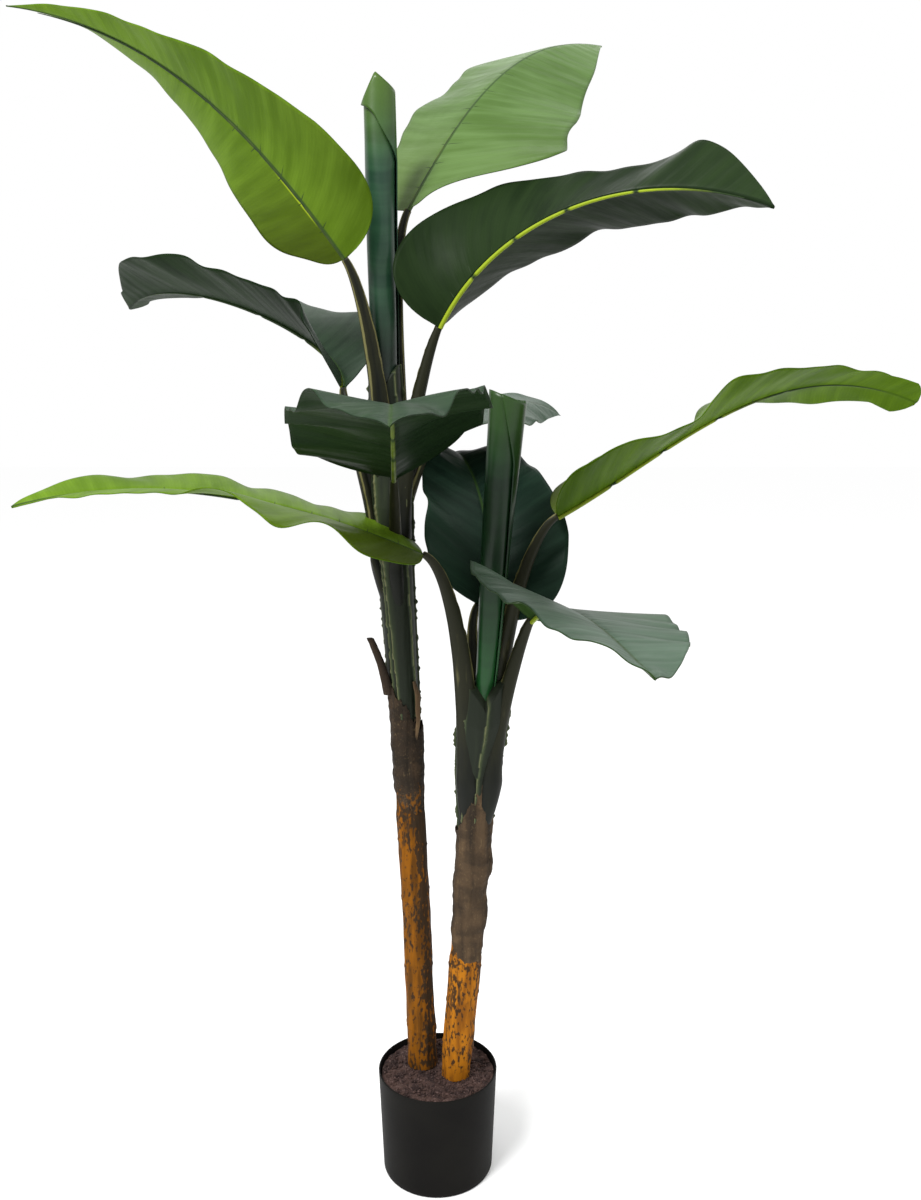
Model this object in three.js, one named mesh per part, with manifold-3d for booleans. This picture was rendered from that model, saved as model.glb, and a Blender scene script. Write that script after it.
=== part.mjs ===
// An artificial banana plant in a small pot: two leaning stems with ten broad leaves and two
// rolled young leaves.  Millimetres, +Z up.  The origin is the centre of the pot's flat
// underside, +X runs to the side that the shorter stem leans to, and -Y is the front.
import * as THREE from "three";
import { mergeVertices } from "three/addons/utils/BufferGeometryUtils.js";
import Module from "manifold-3d";

const wasm = await Module();
wasm.setup();

// ---------------------------------------------------------------- driving dimensions
const POT = { height: 147, rim: 82.5, foot: 76.5, wall: 2.2, floor: 3, chamfer: 1.5, sides: 40 };
const SOIL_LEVEL = 139;
const GAP = 0.35;

const BLADE_THICKNESS = 2.4;
const BLADE_ROWS = 11;
const BLADE_COLUMNS = 4;
const BLADE_FOOT_WIDTH = 10;
const BLADE_TIP_WIDTH = 5;
const BLADE_WIDEST_AT = 0.23;
const ROW_BUNCHING = 1.35;
const STALK_SIDES = 8;
const STALK_ROWS = 6;
const STALK_TIP_RADIUS = 4;
const STALK_RISE = 0.3;
const STALK_RUN_IN = 0.16;
const STEM_SIDES = 16;
const SPEAR_ROWS = 6;
const UP = new THREE.Vector3(0, 0, 1);

// A stem's axis: height above the soil, then how far right and how far back it has leaned.
const TALL = { axis: [[0, -21.5, 20.5], [245, -30, 21], [530, -43, 22], [775, -58, 24], [955, -65.5, 25]] };
const SHORT = { axis: [[0, 25.5, -7.5], [230, 42, -10], [335, 52, -12], [400, 58, -13], [560, 63.5, -15]] };

// Heights above the soil and radii up each stem.
const TALL_TRUNK = [[0, 22], [25, 20.3], [140, 19.6], [370, 19.4], [378, 18.4], [501, 18.4]];
const TALL_STEM = [
  [501, 18.4], [575, 20], [660, 22], [720, 24], [790, 28], [850, 26], [900, 22], [950, 20],
];
const SHORT_TRUNK = [[0, 19.8], [60, 21], [120, 21.8], [175, 21.5], [188, 19], [400, 19]];
const SHORT_STEM = [[400, 19], [440, 25.5], [500, 26.5], [530, 29], [545, 30]];

// Fibrous sleeves: heights and outer radii, the level of the sloping top and its highest side.
const TALL_SHEATH = {
  radii: [[380, 21.4], [440, 21.8], [500, 22.4], [570, 23.2]],
  top: 528, slope: 33, highSide: Math.PI,
};
const SHORT_SHEATH = {
  radii: [[190, 21.8], [245, 22.2], [330, 27], [400, 30.5], [480, 29.5]],
  top: 420, slope: 60, highSide: 0,
};
const SHEATH_WALL = 2.2;
const SHEATH_ROWS = 4;

// The stump of a stalk that was cut off above the tall stem's sleeve.
const CUT_STALK = { foot: [-64, 12, 680], tip: [-87, 8, 757], radii: [7, 5] };

// A rolled young leaf: its foot and tip, its radius at each, and how far its end slants.
const SPEARS = [
  {
    name: "tall_rolled_leaf", foot: [-65, 25, 1070], tip: [-69, 25, 1430],
    radii: [17.5, 21.5], slant: 26, highSide: -Math.PI / 2,
  },
  {
    name: "short_rolled_leaf", foot: [61, -20, 660], tip: [90, -22, 1068],
    radii: [13, 25], slant: 9, highSide: Math.PI,
  },
];

// Each leaf: where its stalk leaves the stem, its midrib as four points at equal steps from
// base to tip, the way its upper side faces at base and tip, the width of the blade, and how
// far each half is lifted off flat, in degrees, at base, middle and tip, then curled outwards.
const LEAVES = [
  {
    name: "tall_leaf_upper_left", foot: [-70, 8, 1000], footRadius: 11.5,
    rib: [[-110, -15, 1235], [-220, -15, 1370], [-355, 10, 1480], [-530, 45, 1545]],
    face: [[0.1, -1, 0.1], [0.1, -0.9, 0.3]], width: 185,
    left: [-50, -70, -140], right: [20, 75, 70], curl: [-5, 5], taper: 1.2,
  },
  {
    name: "tall_leaf_upper_right", foot: [-51, 46, 1000], footRadius: 11,
    rib: [[-35, 50, 1305], [35, 120, 1435], [125, 250, 1554], [252, 400, 1621]],
    face: [[0.1, -1, 0.2], [0.2, -0.3, 1]], width: 225,
    left: [-55, -40, -30], right: [55, 0, -15], curl: [0, 0], taper: 2.4,
  },
  {
    name: "tall_leaf_right", foot: [-42, 12, 925], footRadius: 13,
    rib: [[5, -5, 1155], [105, -50, 1260], [230, -135, 1290], [335, -295, 1240]],
    face: [[-0.4, 0.7, 0.5], [0.1, 0.8, 0.6]], width: 215,
    left: [45, 30, 20], right: [30, 105, 55], curl: [0, -5], taper: 1.9,
  },
  {
    name: "tall_leaf_left", foot: [-76, 22, 880], footRadius: 12,
    rib: [[-120, 35, 1080], [-190, 135, 1160], [-345, 215, 1222], [-500, 390, 1222]],
    face: [[0, 0, 1], [0, 0, 1]], width: 215,
    left: [60, 20, 45], right: [40, 10, 0], curl: [10, 0], taper: 3.2,
  },
  {
    name: "tall_leaf_front", foot: [-52, 4, 845], footRadius: 10,
    rib: [[-50, -55, 970], [-40, -225, 1025], [-30, -395, 1050], [-20, -570, 1030]],
    face: [[0, 0, 1], [0, 0, 1]], width: 225,
    left: [30, 25, 0], right: [10, 5, 5], curl: [-5, -5], taper: 2.5,
  },
  {
    name: "tall_leaf_back", foot: [-50, 44, 880], footRadius: 11,
    rib: [[-10, 75, 1010], [30, 220, 1045], [110, 370, 1075], [210, 540, 1055]],
    face: [[0, 0, 1], [0, 0, 1]], width: 200,
    left: [20, -15, 60], right: [30, -10, -55], curl: [0, -15], taper: 1.9,
  },
  {
    name: "short_leaf_left", foot: [44, -26, 610], footRadius: 14,
    rib: [[-15, -45, 875], [-170, -45, 930], [-345, -30, 955], [-525, -50, 935]],
    face: [[0, 0.3, 1], [0, 0.3, 1]], width: 180,
    left: [-30, -10, -25], right: [35, 30, 60], curl: [-10, -15], taper: 3,
  },
  {
    name: "short_leaf_right", foot: [84, 4, 640], footRadius: 13,
    rib: [[155, -15, 920], [300, 5, 1010], [455, 30, 1080], [635, 60, 1065]],
    face: [[0, 0.3, 1], [0, 0.2, 1]], width: 180,
    left: [40, 20, -25], right: [20, 10, 25], curl: [-5, 0], taper: 2.3,
  },
  {
    name: "short_leaf_back", foot: [58, 8, 635], footRadius: 12,
    rib: [[55, 20, 800], [65, 75, 910], [30, 215, 995], [5, 405, 915]],
    face: [[0.1, -1, 0.3], [0, 0.2, 1]], width: 220,
    left: [40, 25, 10], right: [35, 15, 10], curl: [5, -5], taper: 1.3,
  },
  {
    name: "short_leaf_front", foot: [82, -34, 620], footRadius: 12,
    rib: [[122, -45, 792], [155, -200, 830], [180, -375, 830], [185, -550, 835]],
    face: [[0, 0, 1], [0, 0, 1]], width: 225,
    left: [-15, -5, 5], right: [55, 25, 45], curl: [0, -20], taper: 1.8,
  },
];

const YOUNG_LEAVES = [
  "tall_leaf_upper_left", "tall_leaf_upper_right", "short_leaf_left", "short_leaf_right",
];

const COLOURS = {
  pot: 0x1d1b1a, soil: 0x5f4b4e, bark: 0x8a5a22, sheath: 0x4b3728, stem: 0x26302a,
  stalk: 0x4a4a2c, mature: 0x2f4d33, young: 0x66903a, rolled: 0x1e4b32,
};

// ---------------------------------------------------------------- solids
function geometryFrom(positions, triangles) {
  const geometry = new THREE.BufferGeometry();
  geometry.setAttribute("position", new THREE.Float32BufferAttribute(positions, 3));
  geometry.setIndex(triangles);
  return geometry;
}

function toSolid(geometry) {
  const bare = geometry.clone();
  bare.deleteAttribute("normal");
  bare.deleteAttribute("uv");
  const merged = mergeVertices(bare, 1e-4);
  return new wasm.Manifold(new wasm.Mesh({
    numProp: 3,
    vertProperties: Float32Array.from(merged.getAttribute("position").array),
    triVerts: Uint32Array.from(merged.index.array),
  }));
}

function toGeometry(solid) {
  const mesh = solid.getMesh();
  return geometryFrom(mesh.vertProperties, Array.from(mesh.triVerts));
}

// A closed solid through rings of equal length, with a fan over each end.
function loft(rings) {
  const sides = rings[0].length;
  const positions = rings.flat().flatMap((p) => [p.x, p.y, p.z]);
  const triangles = [];
  for (let r = 0; r + 1 < rings.length; r += 1) {
    for (let i = 0; i < sides; i += 1) {
      const a = r * sides + i;
      const b = r * sides + ((i + 1) % sides);
      triangles.push(a, b, b + sides, a, b + sides, a + sides);
    }
  }
  const last = (rings.length - 1) * sides;
  for (let i = 1; i + 1 < sides; i += 1) {
    triangles.push(0, i + 1, i, last, last + i, last + i + 1);
  }
  return geometryFrom(positions, triangles);
}

// The value at x of a line through [x, value] points, level beyond both ends.
function along(points, x) {
  const next = points.findIndex(([px]) => px >= x);
  if (next === 0) return points[0][1];
  if (next < 0) return points[points.length - 1][1];
  const [x0, v0] = points[next - 1];
  const [x1, v1] = points[next];
  return v0 + ((v1 - v0) * (x - x0)) / (x1 - x0);
}

function stemAxis(stem, height) {
  const right = along(stem.axis.map(([h, x]) => [h, x]), height);
  const back = along(stem.axis.map(([h, , y]) => [h, y]), height);
  return new THREE.Vector3(right, back, SOIL_LEVEL + height);
}

// ---------------------------------------------------------------- pot
function potGeometry() {
  const inner = POT.rim - POT.wall;
  const innerFoot = POT.foot - POT.wall;
  const profile = [
    [0, 0], [POT.foot - POT.chamfer, 0], [POT.foot, POT.chamfer], [POT.rim, POT.height],
    [inner, POT.height], [innerFoot, POT.floor], [0, POT.floor],
  ];
  return new THREE.LatheGeometry(profile.map(([r, z]) => new THREE.Vector2(r, z)), POT.sides)
    .rotateX(Math.PI / 2);
}

function pottingFillGeometry() {
  const innerAt = (z) => {
    const share = (z - POT.floor) / (POT.height - POT.floor);
    return POT.foot - POT.wall + share * (POT.rim - POT.foot) - GAP;
  };
  const bottom = POT.floor + GAP;
  const profile = [
    [0, bottom], [innerAt(bottom), bottom],
    [innerAt(SOIL_LEVEL), SOIL_LEVEL], [0, SOIL_LEVEL],
  ];
  return new THREE.LatheGeometry(profile.map(([r, z]) => new THREE.Vector2(r, z)), POT.sides)
    .rotateX(Math.PI / 2);
}

// ---------------------------------------------------------------- stems and sheaths
function stemSolid(stem, stations, grow) {
  const from = stations[0][0] + GAP - grow;
  const to = stations[stations.length - 1][0] + grow;
  const rings = stations.map(([height, radius], index) => {
    const level = index === 0 ? from : index === stations.length - 1 ? to : height;
    const centre = stemAxis(stem, level);
    return Array.from({ length: STEM_SIDES }, (_, i) => {
      const angle = (2 * Math.PI * i) / STEM_SIDES;
      const reach = radius + grow;
      return centre.clone().add(new THREE.Vector3(Math.cos(angle) * reach, Math.sin(angle) * reach, 0));
    });
  });
  return toSolid(loft(rings));
}

// A fibrous sleeve round a stem: an open tube whose walls meet at both lips.
function sheathSolid(stem, sheath, grow) {
  const foot = sheath.radii[0][0] - grow;
  const wallPoint = (angle, share, inset) => {
    const lip = sheath.top + sheath.slope * Math.cos(angle - sheath.highSide) + grow;
    const height = THREE.MathUtils.lerp(foot, lip, share);
    const radius = along(sheath.radii, height) - inset;
    return stemAxis(stem, height)
      .add(new THREE.Vector3(Math.cos(angle) * radius, Math.sin(angle) * radius, 0));
  };
  const columns = Array.from({ length: STEM_SIDES }, (_, i) => {
    const angle = (2 * Math.PI * i) / STEM_SIDES;
    const shares = Array.from({ length: SHEATH_ROWS + 1 }, (__, r) => r / SHEATH_ROWS);
    const outer = shares.map((share) => wallPoint(angle, share, -grow));
    const inner = shares.reverse().map((share) => wallPoint(angle, share, SHEATH_WALL + grow));
    return [...outer, ...inner];
  });
  return toSolid(closedBand(columns));
}

// A ring-shaped solid from loops set side by side, the last joined to the first.
function closedBand(loops) {
  const size = loops[0].length;
  const positions = loops.flat().flatMap((p) => [p.x, p.y, p.z]);
  const triangles = [];
  loops.forEach((_, i) => {
    const here = i * size;
    const next = ((i + 1) % loops.length) * size;
    for (let k = 0; k < size; k += 1) {
      const k2 = (k + 1) % size;
      triangles.push(here + k, next + k, next + k2, here + k, next + k2, here + k2);
    }
  });
  return geometryFrom(positions, triangles);
}

// ---------------------------------------------------------------- leaves
function ribPoint(rib, t) {
  // The cubic that passes through the four points at t = 0, 1/3, 2/3 and 1.
  const knots = [0, 1 / 3, 2 / 3, 1];
  const point = new THREE.Vector3();
  knots.forEach((knot, i) => {
    const weight = knots.reduce(
      (product, other, j) => (i === j ? product : (product * (t - other)) / (knot - other)), 1);
    point.addScaledVector(new THREE.Vector3(...rib[i]), weight);
  });
  return point;
}

function ribFrame(leaf, t) {
  const step = 0.001;
  const tangent = ribPoint(leaf.rib, t + step).sub(ribPoint(leaf.rib, t - step)).normalize();
  const up = new THREE.Vector3(...leaf.face[0]).normalize()
    .lerp(new THREE.Vector3(...leaf.face[1]).normalize(), t);
  const normal = up.addScaledVector(tangent, -up.dot(tangent)).normalize();
  return { tangent, normal, side: tangent.clone().cross(normal) };
}

// Half the blade's width at t: a blunt rounded base, then a long taper to the tip.
function halfWidth(leaf, t) {
  const edge = t < BLADE_WIDEST_AT
    ? (1 - (1 - t / BLADE_WIDEST_AT) ** 3) ** 0.45
    : 1 - ((t - BLADE_WIDEST_AT) / (1 - BLADE_WIDEST_AT)) ** leaf.taper;
  const ends = THREE.MathUtils.lerp(BLADE_FOOT_WIDTH, BLADE_TIP_WIDTH, t) / 2;
  return Math.max(ends, (leaf.width / 2) * edge);
}

// The smooth curve through values at t = 0, 1/2 and 1.
function blend([first, middle, last], t) {
  return first * (1 - t) * (1 - 2 * t) + middle * 4 * t * (1 - t) + last * t * (2 * t - 1);
}

// Points of one half's cross-section from the rib outwards, and the surface normal at each.
function halfSection(leaf, t, side) {
  const { normal, side: across } = ribFrame(leaf, t);
  const lift = blend(side < 0 ? leaf.left : leaf.right, t);
  const curl = leaf.curl[side < 0 ? 0 : 1];
  const stride = halfWidth(leaf, t) / BLADE_COLUMNS;
  const point = ribPoint(leaf.rib, t);
  const section = [];
  for (let c = 0; c <= BLADE_COLUMNS; c += 1) {
    const curled = c === 0 ? 0 : (curl * (c - 0.5)) / BLADE_COLUMNS;
    const angle = THREE.MathUtils.degToRad(lift + curled);
    const out = across.clone().multiplyScalar(side * Math.cos(angle))
      .addScaledVector(normal, Math.sin(angle));
    if (c > 0) point.addScaledVector(out, stride);
    const facing = normal.clone().multiplyScalar(Math.cos(angle))
      .addScaledVector(across, -side * Math.sin(angle));
    section.push({ point: point.clone(), facing });
  }
  return section;
}

function bladeSolid(leaf, grow) {
  const rings = [];
  for (let row = 0; row <= BLADE_ROWS; row += 1) {
    const t = (row / BLADE_ROWS) ** ROW_BUNCHING;
    const left = halfSection(leaf, t, -1);
    const right = halfSection(leaf, t, 1);
    left[0].facing.add(right[0].facing).normalize();
    const across = [...left.slice().reverse(), ...right.slice(1)];
    const half = BLADE_THICKNESS / 2 + grow;
    const upper = across.map(({ point, facing }) => point.clone().addScaledVector(facing, half));
    const lower = across.map(({ point, facing }) => point.clone().addScaledVector(facing, -half));
    rings.push([...lower, ...upper.reverse()]);
  }
  return toSolid(bladeLoft(rings));
}

// A loft whose rings are long thin strips: the ends are capped across the strip.
function bladeLoft(rings) {
  const size = rings[0].length;
  const positions = rings.flat().flatMap((p) => [p.x, p.y, p.z]);
  const triangles = [];
  for (let r = 0; r + 1 < rings.length; r += 1) {
    for (let i = 0; i < size; i += 1) {
      const a = r * size + i;
      const b = r * size + ((i + 1) % size);
      triangles.push(a, b + size, b, a, a + size, b + size);
    }
  }
  const last = (rings.length - 1) * size;
  for (let i = 0; i + 1 < size / 2; i += 1) {
    const j = size - 1 - i;
    triangles.push(i, i + 1, j, i + 1, j - 1, j);
    triangles.push(last + i, last + j, last + i + 1, last + i + 1, last + j, last + j - 1);
  }
  return geometryFrom(positions, triangles);
}

// A tapering limb along a curve, with flat ends.
function limbSolid(path, footRadius, tipRadius, rows, grow) {
  const rings = [];
  for (let row = 0; row <= rows; row += 1) {
    const t = row / rows;
    const direction = path.getTangent(t);
    const spin = new THREE.Quaternion().setFromUnitVectors(UP, direction);
    const radius = THREE.MathUtils.lerp(footRadius, tipRadius, Math.sqrt(t)) + grow;
    const centre = path.getPoint(t);
    if (row === 0) centre.addScaledVector(direction, -grow);
    if (row === rows) centre.addScaledVector(direction, grow);
    rings.push(Array.from({ length: STALK_SIDES }, (_, i) => {
      const angle = (2 * Math.PI * (i + 0.5)) / STALK_SIDES;
      return new THREE.Vector3(Math.cos(angle) * radius, Math.sin(angle) * radius, 0)
        .applyQuaternion(spin).add(centre);
    }));
  }
  return toSolid(loft(rings));
}

// A stalk leaves its stem upwards and runs into the midrib without a kink.
function stalkSolid(leaf, grow) {
  const { tangent } = ribFrame(leaf, 0);
  const foot = new THREE.Vector3(...leaf.foot);
  const base = ribPoint(leaf.rib, 0);
  const reach = foot.distanceTo(base);
  const path = new THREE.CubicBezierCurve3(
    foot,
    foot.clone().addScaledVector(UP, reach * STALK_RISE),
    base.clone().addScaledVector(tangent, -reach * STALK_RUN_IN),
    base,
  );
  return limbSolid(path, leaf.footRadius, STALK_TIP_RADIUS, STALK_ROWS, grow);
}

function cutStalkSolid(grow) {
  const { foot, tip, radii } = CUT_STALK;
  const path = new THREE.LineCurve3(new THREE.Vector3(...foot), new THREE.Vector3(...tip));
  return limbSolid(path, radii[0], radii[1], 1, grow);
}

// A rolled leaf: a slightly flared roll with a slanting end.
function spearSolid(spear, grow) {
  const foot = new THREE.Vector3(...spear.foot);
  const tip = new THREE.Vector3(...spear.tip);
  const rings = [];
  for (let row = 0; row <= SPEAR_ROWS; row += 1) {
    const t = row / SPEAR_ROWS;
    const radius = THREE.MathUtils.lerp(spear.radii[0], spear.radii[1], t) + grow;
    const centre = foot.clone().lerp(tip, t);
    rings.push(Array.from({ length: STEM_SIDES }, (_, i) => {
      const angle = (2 * Math.PI * i) / STEM_SIDES;
      const slant = row === SPEAR_ROWS ? spear.slant * Math.cos(angle - spear.highSide) + grow : 0;
      const drop = row === 0 ? grow : 0;
      return centre.clone()
        .add(new THREE.Vector3(Math.cos(angle) * radius, Math.sin(angle) * radius, slant - drop));
    }));
  }
  return toSolid(loft(rings));
}

// ---------------------------------------------------------------- assembly
const plant = new THREE.Group();
const made = [];

function addMesh(name, geometry, colour, roughness) {
  const material = new THREE.MeshStandardMaterial({ color: colour, roughness, metalness: 0 });
  const mesh = new THREE.Mesh(geometry, material);
  mesh.name = name;
  plant.add(mesh);
}

// Adds a solid, cut back wherever an earlier neighbour needs the room.
function addSolid(name, build, colour, roughness) {
  let solid = build(0);
  for (const neighbour of made) {
    if (solid.intersect(neighbour).volume() > 0) solid = solid.subtract(neighbour);
  }
  const pieces = solid.decompose().sort((a, b) => b.volume() - a.volume());
  addMesh(name, toGeometry(pieces[0]), colour, roughness);
  made.push(build(GAP));
}

addMesh("pot", potGeometry(), COLOURS.pot, 0.6);
addMesh("potting_fill", pottingFillGeometry(), COLOURS.soil, 0.95);

addSolid("tall_trunk", (grow) => stemSolid(TALL, TALL_TRUNK, grow), COLOURS.bark, 0.8);
addSolid("short_trunk", (grow) => stemSolid(SHORT, SHORT_TRUNK, grow), COLOURS.bark, 0.8);
addSolid("tall_stem", (grow) => stemSolid(TALL, TALL_STEM, grow), COLOURS.stem, 0.6);
addSolid("short_stem", (grow) => stemSolid(SHORT, SHORT_STEM, grow), COLOURS.stem, 0.6);
addSolid("tall_sheath", (grow) => sheathSolid(TALL, TALL_SHEATH, grow), COLOURS.sheath, 0.9);
addSolid("short_sheath", (grow) => sheathSolid(SHORT, SHORT_SHEATH, grow), COLOURS.sheath, 0.9);
addSolid("tall_cut_stalk", cutStalkSolid, COLOURS.sheath, 0.9);
for (const spear of SPEARS) {
  addSolid(spear.name, (grow) => spearSolid(spear, grow), COLOURS.rolled, 0.45);
}
for (const leaf of LEAVES) {
  addSolid(leaf.name.replace("leaf", "stalk"), (grow) => stalkSolid(leaf, grow), COLOURS.stalk, 0.7);
}
for (const leaf of LEAVES) {
  const colour = YOUNG_LEAVES.includes(leaf.name) ? COLOURS.young : COLOURS.mature;
  addSolid(leaf.name, (grow) => bladeSolid(leaf, grow), colour, 0.5);
}

export default plant;
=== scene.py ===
"""Looks of an artificial banana plant in a pot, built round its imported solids.

Lengths are metres in the part's own frame: the origin is the centre of the pot's flat underside,
+X runs to the side that the shorter stem leans to, -Y is the front and +Z is up.
"""

import logging
import math
import random
from dataclasses import dataclass
from enum import Enum
from typing import Any, Sequence

import bpy
import numpy as np
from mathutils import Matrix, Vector, noise


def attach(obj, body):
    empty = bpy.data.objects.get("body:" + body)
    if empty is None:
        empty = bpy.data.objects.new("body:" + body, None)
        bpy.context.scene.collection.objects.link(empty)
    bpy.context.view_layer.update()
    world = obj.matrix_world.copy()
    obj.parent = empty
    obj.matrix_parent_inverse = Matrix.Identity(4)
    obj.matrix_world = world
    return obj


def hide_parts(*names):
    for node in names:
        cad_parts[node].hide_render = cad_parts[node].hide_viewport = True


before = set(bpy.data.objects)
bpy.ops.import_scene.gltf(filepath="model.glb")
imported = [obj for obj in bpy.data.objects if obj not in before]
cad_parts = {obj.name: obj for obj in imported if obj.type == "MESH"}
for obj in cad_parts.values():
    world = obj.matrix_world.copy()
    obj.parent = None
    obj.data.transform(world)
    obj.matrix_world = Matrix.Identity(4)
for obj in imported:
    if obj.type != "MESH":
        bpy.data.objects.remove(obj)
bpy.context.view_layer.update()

LOG = logging.getLogger("banana_plant")
Point = tuple[float, float, float]
Rgb = tuple[float, float, float]
BODY = "root"
SOIL_LEVEL = 0.139
TURN = 2 * math.pi


def srgb(red: int, green: int, blue: int) -> Rgb:
    """Linear colour from the three numbers of a paint chip, 0 to 255."""
    def linear(channel: int) -> float:
        """One channel, from chip number to linear light."""
        share = channel / 255
        return share / 12.92 if share <= 0.04045 else ((share + 0.055) / 1.055) ** 2.4

    return linear(red), linear(green), linear(blue)


def rough_at(point: Sequence[float], scale: Sequence[float], octaves: int = 3) -> float:
    """Smooth noise, about -1 to 1, at a point stretched by scale."""
    place = Vector((point[0] * scale[0], point[1] * scale[1], point[2] * scale[2]))
    return noise.fractal(place, 1.0, 2.0, octaves)


def bell(values: Any, centre: float, spread: float) -> Any:
    """A smooth bump of height 1 at centre."""
    return np.exp(-(((values - centre) / spread) ** 2))


def unit(vectors: np.ndarray) -> np.ndarray:
    """The same vectors at length 1."""
    return vectors / np.linalg.norm(vectors, axis=-1, keepdims=True)


def circle(sides: int) -> tuple[np.ndarray, np.ndarray]:
    """Angles round a full turn, and the level unit vector at each."""
    angles = np.linspace(0, TURN, sides, endpoint=False)
    return angles, np.stack([np.cos(angles), np.sin(angles), np.zeros(sides)], -1)


def lerp(ends: tuple[float, float], share: Any) -> Any:
    """The value at a share of the way from one end to the other."""
    return ends[0] + (ends[1] - ends[0]) * share


def link(name: str, data: bpy.types.ID) -> bpy.types.Object:
    """Puts a mesh, light or camera into the scene under a name.

    Args:
        name: what to call it.
        data: the mesh, light or camera.

    Returns:
        The new object.
    """
    made = bpy.data.objects.new(name, data)
    bpy.context.scene.collection.objects.link(made)
    return made


def add_node(
    tree: bpy.types.NodeTree, kind: str, settings: dict[str, Any], inputs: dict[Any, Any], out: Any
) -> bpy.types.NodeSocket:
    """Adds a node to a shader or geometry tree.

    Args:
        tree: the tree.
        kind: the node's type.
        settings: its properties, set before its sockets.
        inputs: values or sockets to link, by socket name or number.
        out: the output wanted, by name or number.

    Returns:
        That output.
    """
    made = tree.nodes.new(kind)
    for key, value in settings.items():
        setattr(made, key, value)
    for key, value in inputs.items():
        target = made.inputs[key]
        if isinstance(value, bpy.types.NodeSocket):
            tree.links.new(value, target)
        elif target.type == "RGBA":
            target.default_value = (*value, 1.0)
        else:
            target.default_value = value
    return made.outputs[out]


# ------------------------------------------------------------------ shader and geometry graphs
class Sock:
    """A shader socket that adds Math nodes when it is used in an expression."""

    def __init__(self, graph: "Graph", socket: bpy.types.NodeSocket) -> None:
        """Wraps one output socket of a graph."""
        self.graph = graph
        self.socket = socket

    def __add__(self, other: Any) -> "Sock":
        """Sum."""
        return self.graph.maths("ADD", self, other)

    __radd__ = __add__

    def __sub__(self, other: Any) -> "Sock":
        """Difference."""
        return self.graph.maths("SUBTRACT", self, other)

    def __rsub__(self, other: Any) -> "Sock":
        """Difference, taken from a number."""
        return self.graph.maths("SUBTRACT", other, self)

    def __mul__(self, other: Any) -> "Sock":
        """Product."""
        return self.graph.maths("MULTIPLY", self, other)

    __rmul__ = __mul__

    def __abs__(self) -> "Sock":
        """Size without sign."""
        return self.graph.maths("ABSOLUTE", self)

    def sine(self) -> "Sock":
        """Sine of the value in radians."""
        return self.graph.maths("SINE", self)

    def rise(self, low: float, high: float) -> "Sock":
        """Smooth step from 0 at low to 1 at high."""
        return self.graph.node(
            "ShaderNodeMapRange",
            {"interpolation_type": "SMOOTHSTEP", "clamp": True},
            {"Value": self, "From Min": low, "From Max": high},
        )


class Graph:
    """A material's node tree, filled by short expressions."""

    def __init__(self, name: str) -> None:
        """Starts an empty material of that name.

        Args:
            name: the material's name.
        """
        self.material = bpy.data.materials.new(name)
        self.material.use_nodes = True
        self.tree = self.material.node_tree
        self.tree.nodes.clear()
        self.place = self.node("ShaderNodeTexCoord", {}, {}, "Object")

    def node(self, kind: str, settings: dict[str, Any], inputs: dict[Any, Any], out: Any = 0) -> Sock:
        """Adds a node as add_node does, from wrapped sockets to a wrapped socket."""
        plain = {key: value.socket if isinstance(value, Sock) else value for key, value in inputs.items()}
        return Sock(self, add_node(self.tree, kind, settings, plain, out))

    def maths(self, operation: str, *values: Any) -> Sock:
        """One Math node on one or two values."""
        return self.node("ShaderNodeMath", {"operation": operation}, dict(enumerate(values)))

    def attribute(self, name: str) -> Sock:
        """A number that the piece's mesh carries at each point."""
        return self.node("ShaderNodeAttribute", {"attribute_name": name}, {}, "Fac")

    def noise(self, scale: float, stretch: Point = (1, 1, 1), detail: float = 3.0) -> Sock:
        """Noise over Object coordinates, squeezed along each axis by stretch."""
        place = self.node("ShaderNodeVectorMath", {"operation": "MULTIPLY"}, {0: self.place, 1: stretch})
        return self.node("ShaderNodeTexNoise", {}, {"Vector": place, "Scale": scale, "Detail": detail})

    def height(self) -> Sock:
        """Height above the floor, in metres."""
        return self.node("ShaderNodeSeparateXYZ", {}, {0: self.place}, 2)

    def print_spots(self) -> Sock:
        """The patchy noise of the printed bark, broad patches broken by fine mottle."""
        return self.noise(30.0, (1, 1, 0.42), 4.0) * 0.35 + self.noise(230.0, (1, 1, 0.5), 4.0) * 0.65

    def mix(self, share: Any, first: Any, second: Any) -> Sock:
        """A colour between two colours."""
        return self.node("ShaderNodeMix", {"data_type": "RGBA"}, {0: share, 6: first, 7: second}, 2)

    def bump(self, height: Sock, strength: float, distance: float) -> Sock:
        """A normal bent by a height."""
        return self.node("ShaderNodeBump", {}, {"Strength": strength, "Distance": distance, "Height": height})

    def finish(self, colour: Any, roughness: Any, normal: Sock | None, **fixed: Any) -> bpy.types.Material:
        """Ends the tree in a Principled shader.

        Args:
            colour: base colour.
            roughness: number or socket.
            normal: bent normal, if any.
            **fixed: further sockets, set as plain values, with _ for a space.

        Returns:
            The finished material.
        """
        inputs = {"Base Color": colour, "Roughness": roughness}
        if normal is not None:
            inputs["Normal"] = normal
        inputs.update({key.replace("_", " "): value for key, value in fixed.items()})
        shader = self.node("ShaderNodeBsdfPrincipled", {}, inputs)
        end = self.tree.nodes.new("ShaderNodeOutputMaterial")
        self.tree.links.new(shader.socket, end.inputs["Surface"])
        return self.material


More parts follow.
